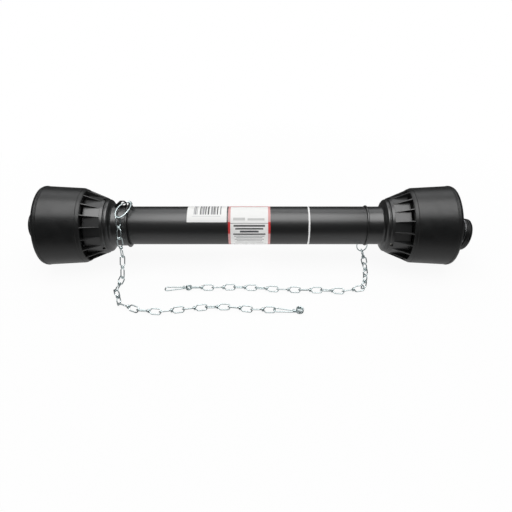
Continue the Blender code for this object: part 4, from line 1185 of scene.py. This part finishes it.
def hook_shape(eye_r, turns, low_coil, half_width):
    """One wire bent to a long loop, with a coiled eye where it closes; the eye's hold is at the origin."""
    eye_far = 2 * EYE_R - HOLD / 2
    end = eye_far + HOOK_LENGTH
    corners = mirrored([(eye_far - 0.0012, 0.0011, 0.0006), (eye_far + 0.0060, 0.0022, 0.0060),
                        (end, half_width, half_width + 0.0004)])
    path = [(x, y, 0) for x, y in rounded(corners, 8)]
    lift = 2 * WIRE_R * 1.02 * turns
    eye = [(x, y, low_coil + lift * k / 119)
           for k, (x, y) in enumerate(arc(eye_r, 119, 0.0, 2 * pi * turns, (eye_far - eye_r, 0.0)))]
    tie = coil(eye_far + 0.0035, eye_far + 0.0065, half_width=0.0031, half_height=0.0024, turns=1.5, steps=45,
               lift=0.0012)
    return together([swept(path, WIRE_R, True, 12), swept(eye, WIRE_R, False, 12),
                     swept(tie, WIRE_R * 0.85, False, 10)]), end


def left_ring_path():
    """An oval wire ring laid round the top of the neck, from the chain up to the lug."""
    low, high = LEFT_RING_SPAN
    points = []
    for across, up in arc(1, 96):
        angle = (low + high) / 2 + (high - low) / 2 * up
        rise = (angle - radians(72)) / radians(28)
        y, z = on_ring(angle, LEFT_RING_R + 0.0033 * rise * rise)
        points.append((-LEFT_RING_AT + LEFT_RING_HALF * across + LEFT_RING_LEAN * up, y, z))
    return points


def wound(path, turns):
    """The ring's own wire end, wound round it where it closes."""
    fine = smooth_path(path, 10)
    points = []
    normal = UP
    for i in range(1, len(fine) - 1):
        ahead = (fine[i + 1] - fine[i - 1]).normalized()
        normal = (normal - ahead * normal.dot(ahead)).normalized()
        turn = 2 * pi * turns * i / len(fine)
        points.append(fine[i] + (normal * cos(turn) + ahead.cross(normal) * sin(turn)) * WIRE_R * 1.9)
    return swept(points, WIRE_R * 0.9, False, 10)


def right_ring_path():
    """An oval wire ring that hangs from the lug under the neck."""
    y, z = on_ring(RIGHT_LUG_ANGLE, RIGHT_LUG_HOLE[0] - 0.0006)
    hold = Vector(RIGHT_RING_HOLD)
    top = Vector((RIGHT_LUG_AT, y, z))
    low = Vector((RIGHT_LUG_AT, hold.y - HOLD / 2, hold.z))
    middle, down = (top + low) / 2, (low - top) / 2
    return [middle + Vector((RIGHT_RING_HALF * x, 0, 0)) + down * y for x, y in arc(1, 96)]


class DRIVE_SHAFT_OT_chain_rings(bpy.types.Operator):
    """The wire rings that join the chains to the guard's lugs"""
    bl_idname = "drive_shaft.chain_rings"
    bl_label = "Chain rings"

    def execute(self, context):
        for name, path in (("left", left_ring_path()), ("right", right_ring_path())):
            mesh = swept(path, RING_WIRE_R[name], True, 14)
            if name == "left":
                mesh = together([mesh, wound(path[12:23], 3.2)])
            mesh.transform(HOME)
            dress(name + "_wire_ring", mesh, name + "_chain", "zinc_plated_wire", [name + "_chain_ring"],
                  sharp=60)
        return {"FINISHED"}


class DRIVE_SHAFT_OT_chains(bpy.types.Operator):
    """Both safety chains: a link at each pitch along the way each chain lies"""
    bl_idname = "drive_shaft.chains"
    bl_label = "Safety chains"

    def execute(self, context):
        sizes = context.scene.drive_shaft_sizes
        link = bpy.data.objects.new("one_link", link_shape(sizes.knot_turns))
        context.scene.collection.objects.link(link)
        tree = link_tree()
        for name, chain in CHAINS.items():
            holds = holds_on(chain["route"], chain["links"])
            places = []
            for i, (start, stop) in enumerate(zip(holds, holds[1:])):
                steep = abs((stop - start).normalized().z)
                up = UP if steep < 0.5 else UP * (1 - steep) + Vector((0, -1, 0)) * steep
                roll = pi / 4 + LINK_ROLL * sin(1.9 * i) if i else FIRST_ROLL
                places.append(HOME @ lying_frame(start, stop, up, roll))
            mesh = bpy.data.meshes.new("holds")
            mesh.from_pydata([place.to_translation() for place in places], [], [])
            turns = mesh.attributes.new("turn", "FLOAT_VECTOR", "POINT")
            turns.data.foreach_set("vector", [angle for place in places for angle in place.to_euler()])
            wire = finish_called("zinc_plated_wire")
            made = grown(mesh, tree, {"Link": link, "Size": 1.0, "Material": wire})
            dress(name + "_safety_chain", made, name + "_chain", "zinc_plated_wire",
                  [f"{name}_chain_link_{i + 1:02d}" for i in range(chain["links"])], sharp=60)
        bpy.data.objects.remove(link, do_unlink=True)
        return {"FINISHED"}


class DRIVE_SHAFT_OT_chain_hooks(bpy.types.Operator):
    """The wire hooks at the chains' free ends"""
    bl_idname = "drive_shaft.chain_hooks"
    bl_label = "Chain hooks"

    def execute(self, context):
        for name, chain in CHAINS.items():
            mesh, length = hook_shape(**HOOKS[name])
            before, start = holds_on(chain["route"], chain["links"])[-2:]
            ahead = (start - before).normalized()
            ahead.z = -(start.z - FLOOR - WIRE_R - GAP) / length
            place = lying_frame(start, start + ahead * 0.001, UP, 0)
            if name == "left":
                far_end = Matrix.Translation((length - HOLD / 2 - GAP, 0, 0))
                place = place @ far_end @ Matrix.Rotation(pi, 4, "Z")
            mesh.transform(HOME @ place)
            dress(name + "_wire_hook", mesh, name + "_hook", "zinc_plated_wire", [name + "_chain_hook"],
                  sharp=60)
        return {"FINISHED"}


# Stage

FLOOR_DROP = 0.0004           # floor under the lowest solid, out of its way
FADE = (0.35, 1.1, 0.93, 1.0)     # from and to a distance, from and to a share of plain white for the camera
SHEEN = (0.04, 0.42, 0.50, 0.06)  # from and to a distance from the shaft, and the floor's strength for gloss
BOUNCE = 2.1                  # the floor's own light on the matt pieces over it
BOUNCE_SHARE = 0.5
LAMPS = {
    "top_light": dict(at=(0, -0.22, 1.50), aim=(0, -0.05, 0), size=(2.6, 1.42), power=31.5, tone=(1, 1, 1)),
    "back_light": dict(at=(0, 1.2, 1.35), aim=(0, 0, 0), size=(2.6, 0.9), power=8.4, tone=(0.98, 0.99, 1)),
}
CAMERA_AT = (0.0194, -0.9961, 0.5867)
CAMERA_TILT = radians(56.0)
CAMERA_LENS = 35.16


def floor_finish():
    """White paper that gives its own light: plain to the camera, dimmer to gloss, brighter to matt faces."""
    made = bpy.data.materials.new("floor_white")
    made.use_nodes = True
    tree = made.node_tree
    paper = tree.nodes["Principled BSDF"]
    feed(tree, paper, {"Base Color": (0.90, 0.90, 0.90, 1), "Roughness": 0.9, "Specular IOR Level": 0.1})
    place = node(tree, "ShaderNodeTexCoord").outputs["Object"]
    far = node(tree, "ShaderNodeVectorMath", {0: place}, operation="LENGTH").outputs["Value"]
    depth = node(tree, "ShaderNodeSeparateXYZ", {0: place}).outputs["Y"]
    beside = reckoned(tree, "ABSOLUTE", reckoned(tree, "SUBTRACT", depth, MIDDLE.y))
    rays = node(tree, "ShaderNodeLightPath").outputs
    camera, gloss, matt = rays["Is Camera Ray"], rays["Is Glossy Ray"], rays["Is Diffuse Ray"]
    white = reckoned(tree, "MULTIPLY", camera, ranged(tree, far, *FADE))
    sheen = ranged(tree, beside, *SHEEN, "SMOOTHSTEP")
    strength = reckoned(tree, "MULTIPLY_ADD", gloss, sheen, camera)
    strength = reckoned(tree, "MULTIPLY_ADD", matt, BOUNCE, strength)
    share = reckoned(tree, "MULTIPLY_ADD", matt, BOUNCE_SHARE, white)
    share = reckoned(tree, "ADD", gloss, share, clamp=True)
    glow = node(tree, "ShaderNodeEmission", {"Strength": strength}).outputs[0]
    mix = node(tree, "ShaderNodeMixShader", {0: share, 1: paper.outputs[0], 2: glow}).outputs[0]
    tree.links.new(mix, tree.nodes["Material Output"].inputs["Surface"])
    return made


def studio_world():
    """A faint sky that the camera sees as plain white."""
    made = bpy.data.worlds.new("studio")
    made.use_nodes = True
    tree = made.node_tree
    sky = tree.nodes["Background"]
    feed(tree, sky, {"Color": (0.95, 0.97, 1.0, 1), "Strength": 0.05})
    white = node(tree, "ShaderNodeBackground", {"Color": (1, 1, 1, 1), "Strength": 1.0}).outputs[0]
    camera = node(tree, "ShaderNodeLightPath").outputs["Is Camera Ray"]
    mix = node(tree, "ShaderNodeMixShader", {0: camera, 1: sky.outputs[0], 2: white}).outputs[0]
    tree.links.new(mix, tree.nodes["World Output"].inputs["Surface"])
    return made


def set_up(scene, name, data, at):
    """A lamp or camera put in the scene, at a place from the guard's middle."""
    made = bpy.data.objects.new(name, data)
    made.location = MIDDLE + Vector(at)
    scene.collection.objects.link(made)
    return made


class DRIVE_SHAFT_OT_stage(bpy.types.Operator):
    """Floor, soft lights, sky and the camera at the photograph's angle"""
    bl_idname = "drive_shaft.stage"
    bl_label = "Stage"

    def execute(self, context):
        scene = context.scene
        scene.view_settings.view_transform = "Standard"
        work = bmesh.new()
        bmesh.ops.create_grid(work, x_segments=1, y_segments=1, size=6)
        floor = bpy.data.objects.new("floor", closed(work))
        floor.data.transform(Matrix.Translation((0, 0, CAD_BOX[0][2] - FLOOR_DROP)))
        floor.data.materials.append(floor_finish())
        scene.collection.objects.link(floor)
        for name, lamp in LAMPS.items():
            light = bpy.data.lights.new(name, "AREA")
            light.shape = "RECTANGLE"
            light.size, light.size_y = lamp["size"]
            light.energy = lamp["power"]
            light.color = lamp["tone"]
            made = set_up(scene, name, light, lamp["at"])
            facing = Vector(lamp["aim"]) - Vector(lamp["at"])
            made.rotation_euler = facing.to_track_quat("-Z", "Y").to_euler()
        scene.world = studio_world()
        camera = bpy.data.cameras.new("camera")
        camera.lens = CAMERA_LENS
        camera.sensor_width = 36
        camera.clip_start = 0.01
        scene.camera = set_up(scene, "camera", camera, CAMERA_AT)
        scene.camera.rotation_euler = (CAMERA_TILT, 0, 0)
        return {"FINISHED"}


OPERATORS = (DRIVE_SHAFT_OT_guard_bells, DRIVE_SHAFT_OT_guard_tubes, DRIVE_SHAFT_OT_stickers,
             DRIVE_SHAFT_OT_drive_tubes, DRIVE_SHAFT_OT_universal_joints, DRIVE_SHAFT_OT_catches,
             DRIVE_SHAFT_OT_chain_rings, DRIVE_SHAFT_OT_chains, DRIVE_SHAFT_OT_chain_hooks,
             DRIVE_SHAFT_OT_stage)


class DRIVE_SHAFT_PT_pieces(bpy.types.Panel):
    """Buttons that build the shaft's pieces"""
    bl_label = "Drive shaft"
    bl_idname = "DRIVE_SHAFT_PT_pieces"
    bl_space_type = "VIEW_3D"
    bl_region_type = "UI"
    bl_category = "Drive shaft"

    def draw(self, context):
        layout = self.layout
        for group in (context.scene.drive_shaft_sizes, context.scene.drive_shaft_colours):
            for name in group.bl_rna.properties.keys():
                if name not in ("rna_type", "name"):
                    layout.prop(group, name)
        for operator in OPERATORS:
            layout.operator(operator.bl_idname)


CLASSES = (DriveShaftSizes, DriveShaftColours, *OPERATORS, DRIVE_SHAFT_PT_pieces)


def register():
    for item in CLASSES:
        bpy.utils.register_class(item)
    bpy.types.Scene.drive_shaft_sizes = bpy.props.PointerProperty(type=DriveShaftSizes)
    bpy.types.Scene.drive_shaft_colours = bpy.props.PointerProperty(type=DriveShaftColours)


def unregister():
    del bpy.types.Scene.drive_shaft_colours
    del bpy.types.Scene.drive_shaft_sizes
    for item in reversed(CLASSES):
        bpy.utils.unregister_class(item)


def main():
    register()
    for operator in OPERATORS:
        group, name = operator.bl_idname.split(".")
        getattr(getattr(bpy.ops, group), name)()


if __name__ == "__main__":
    main()
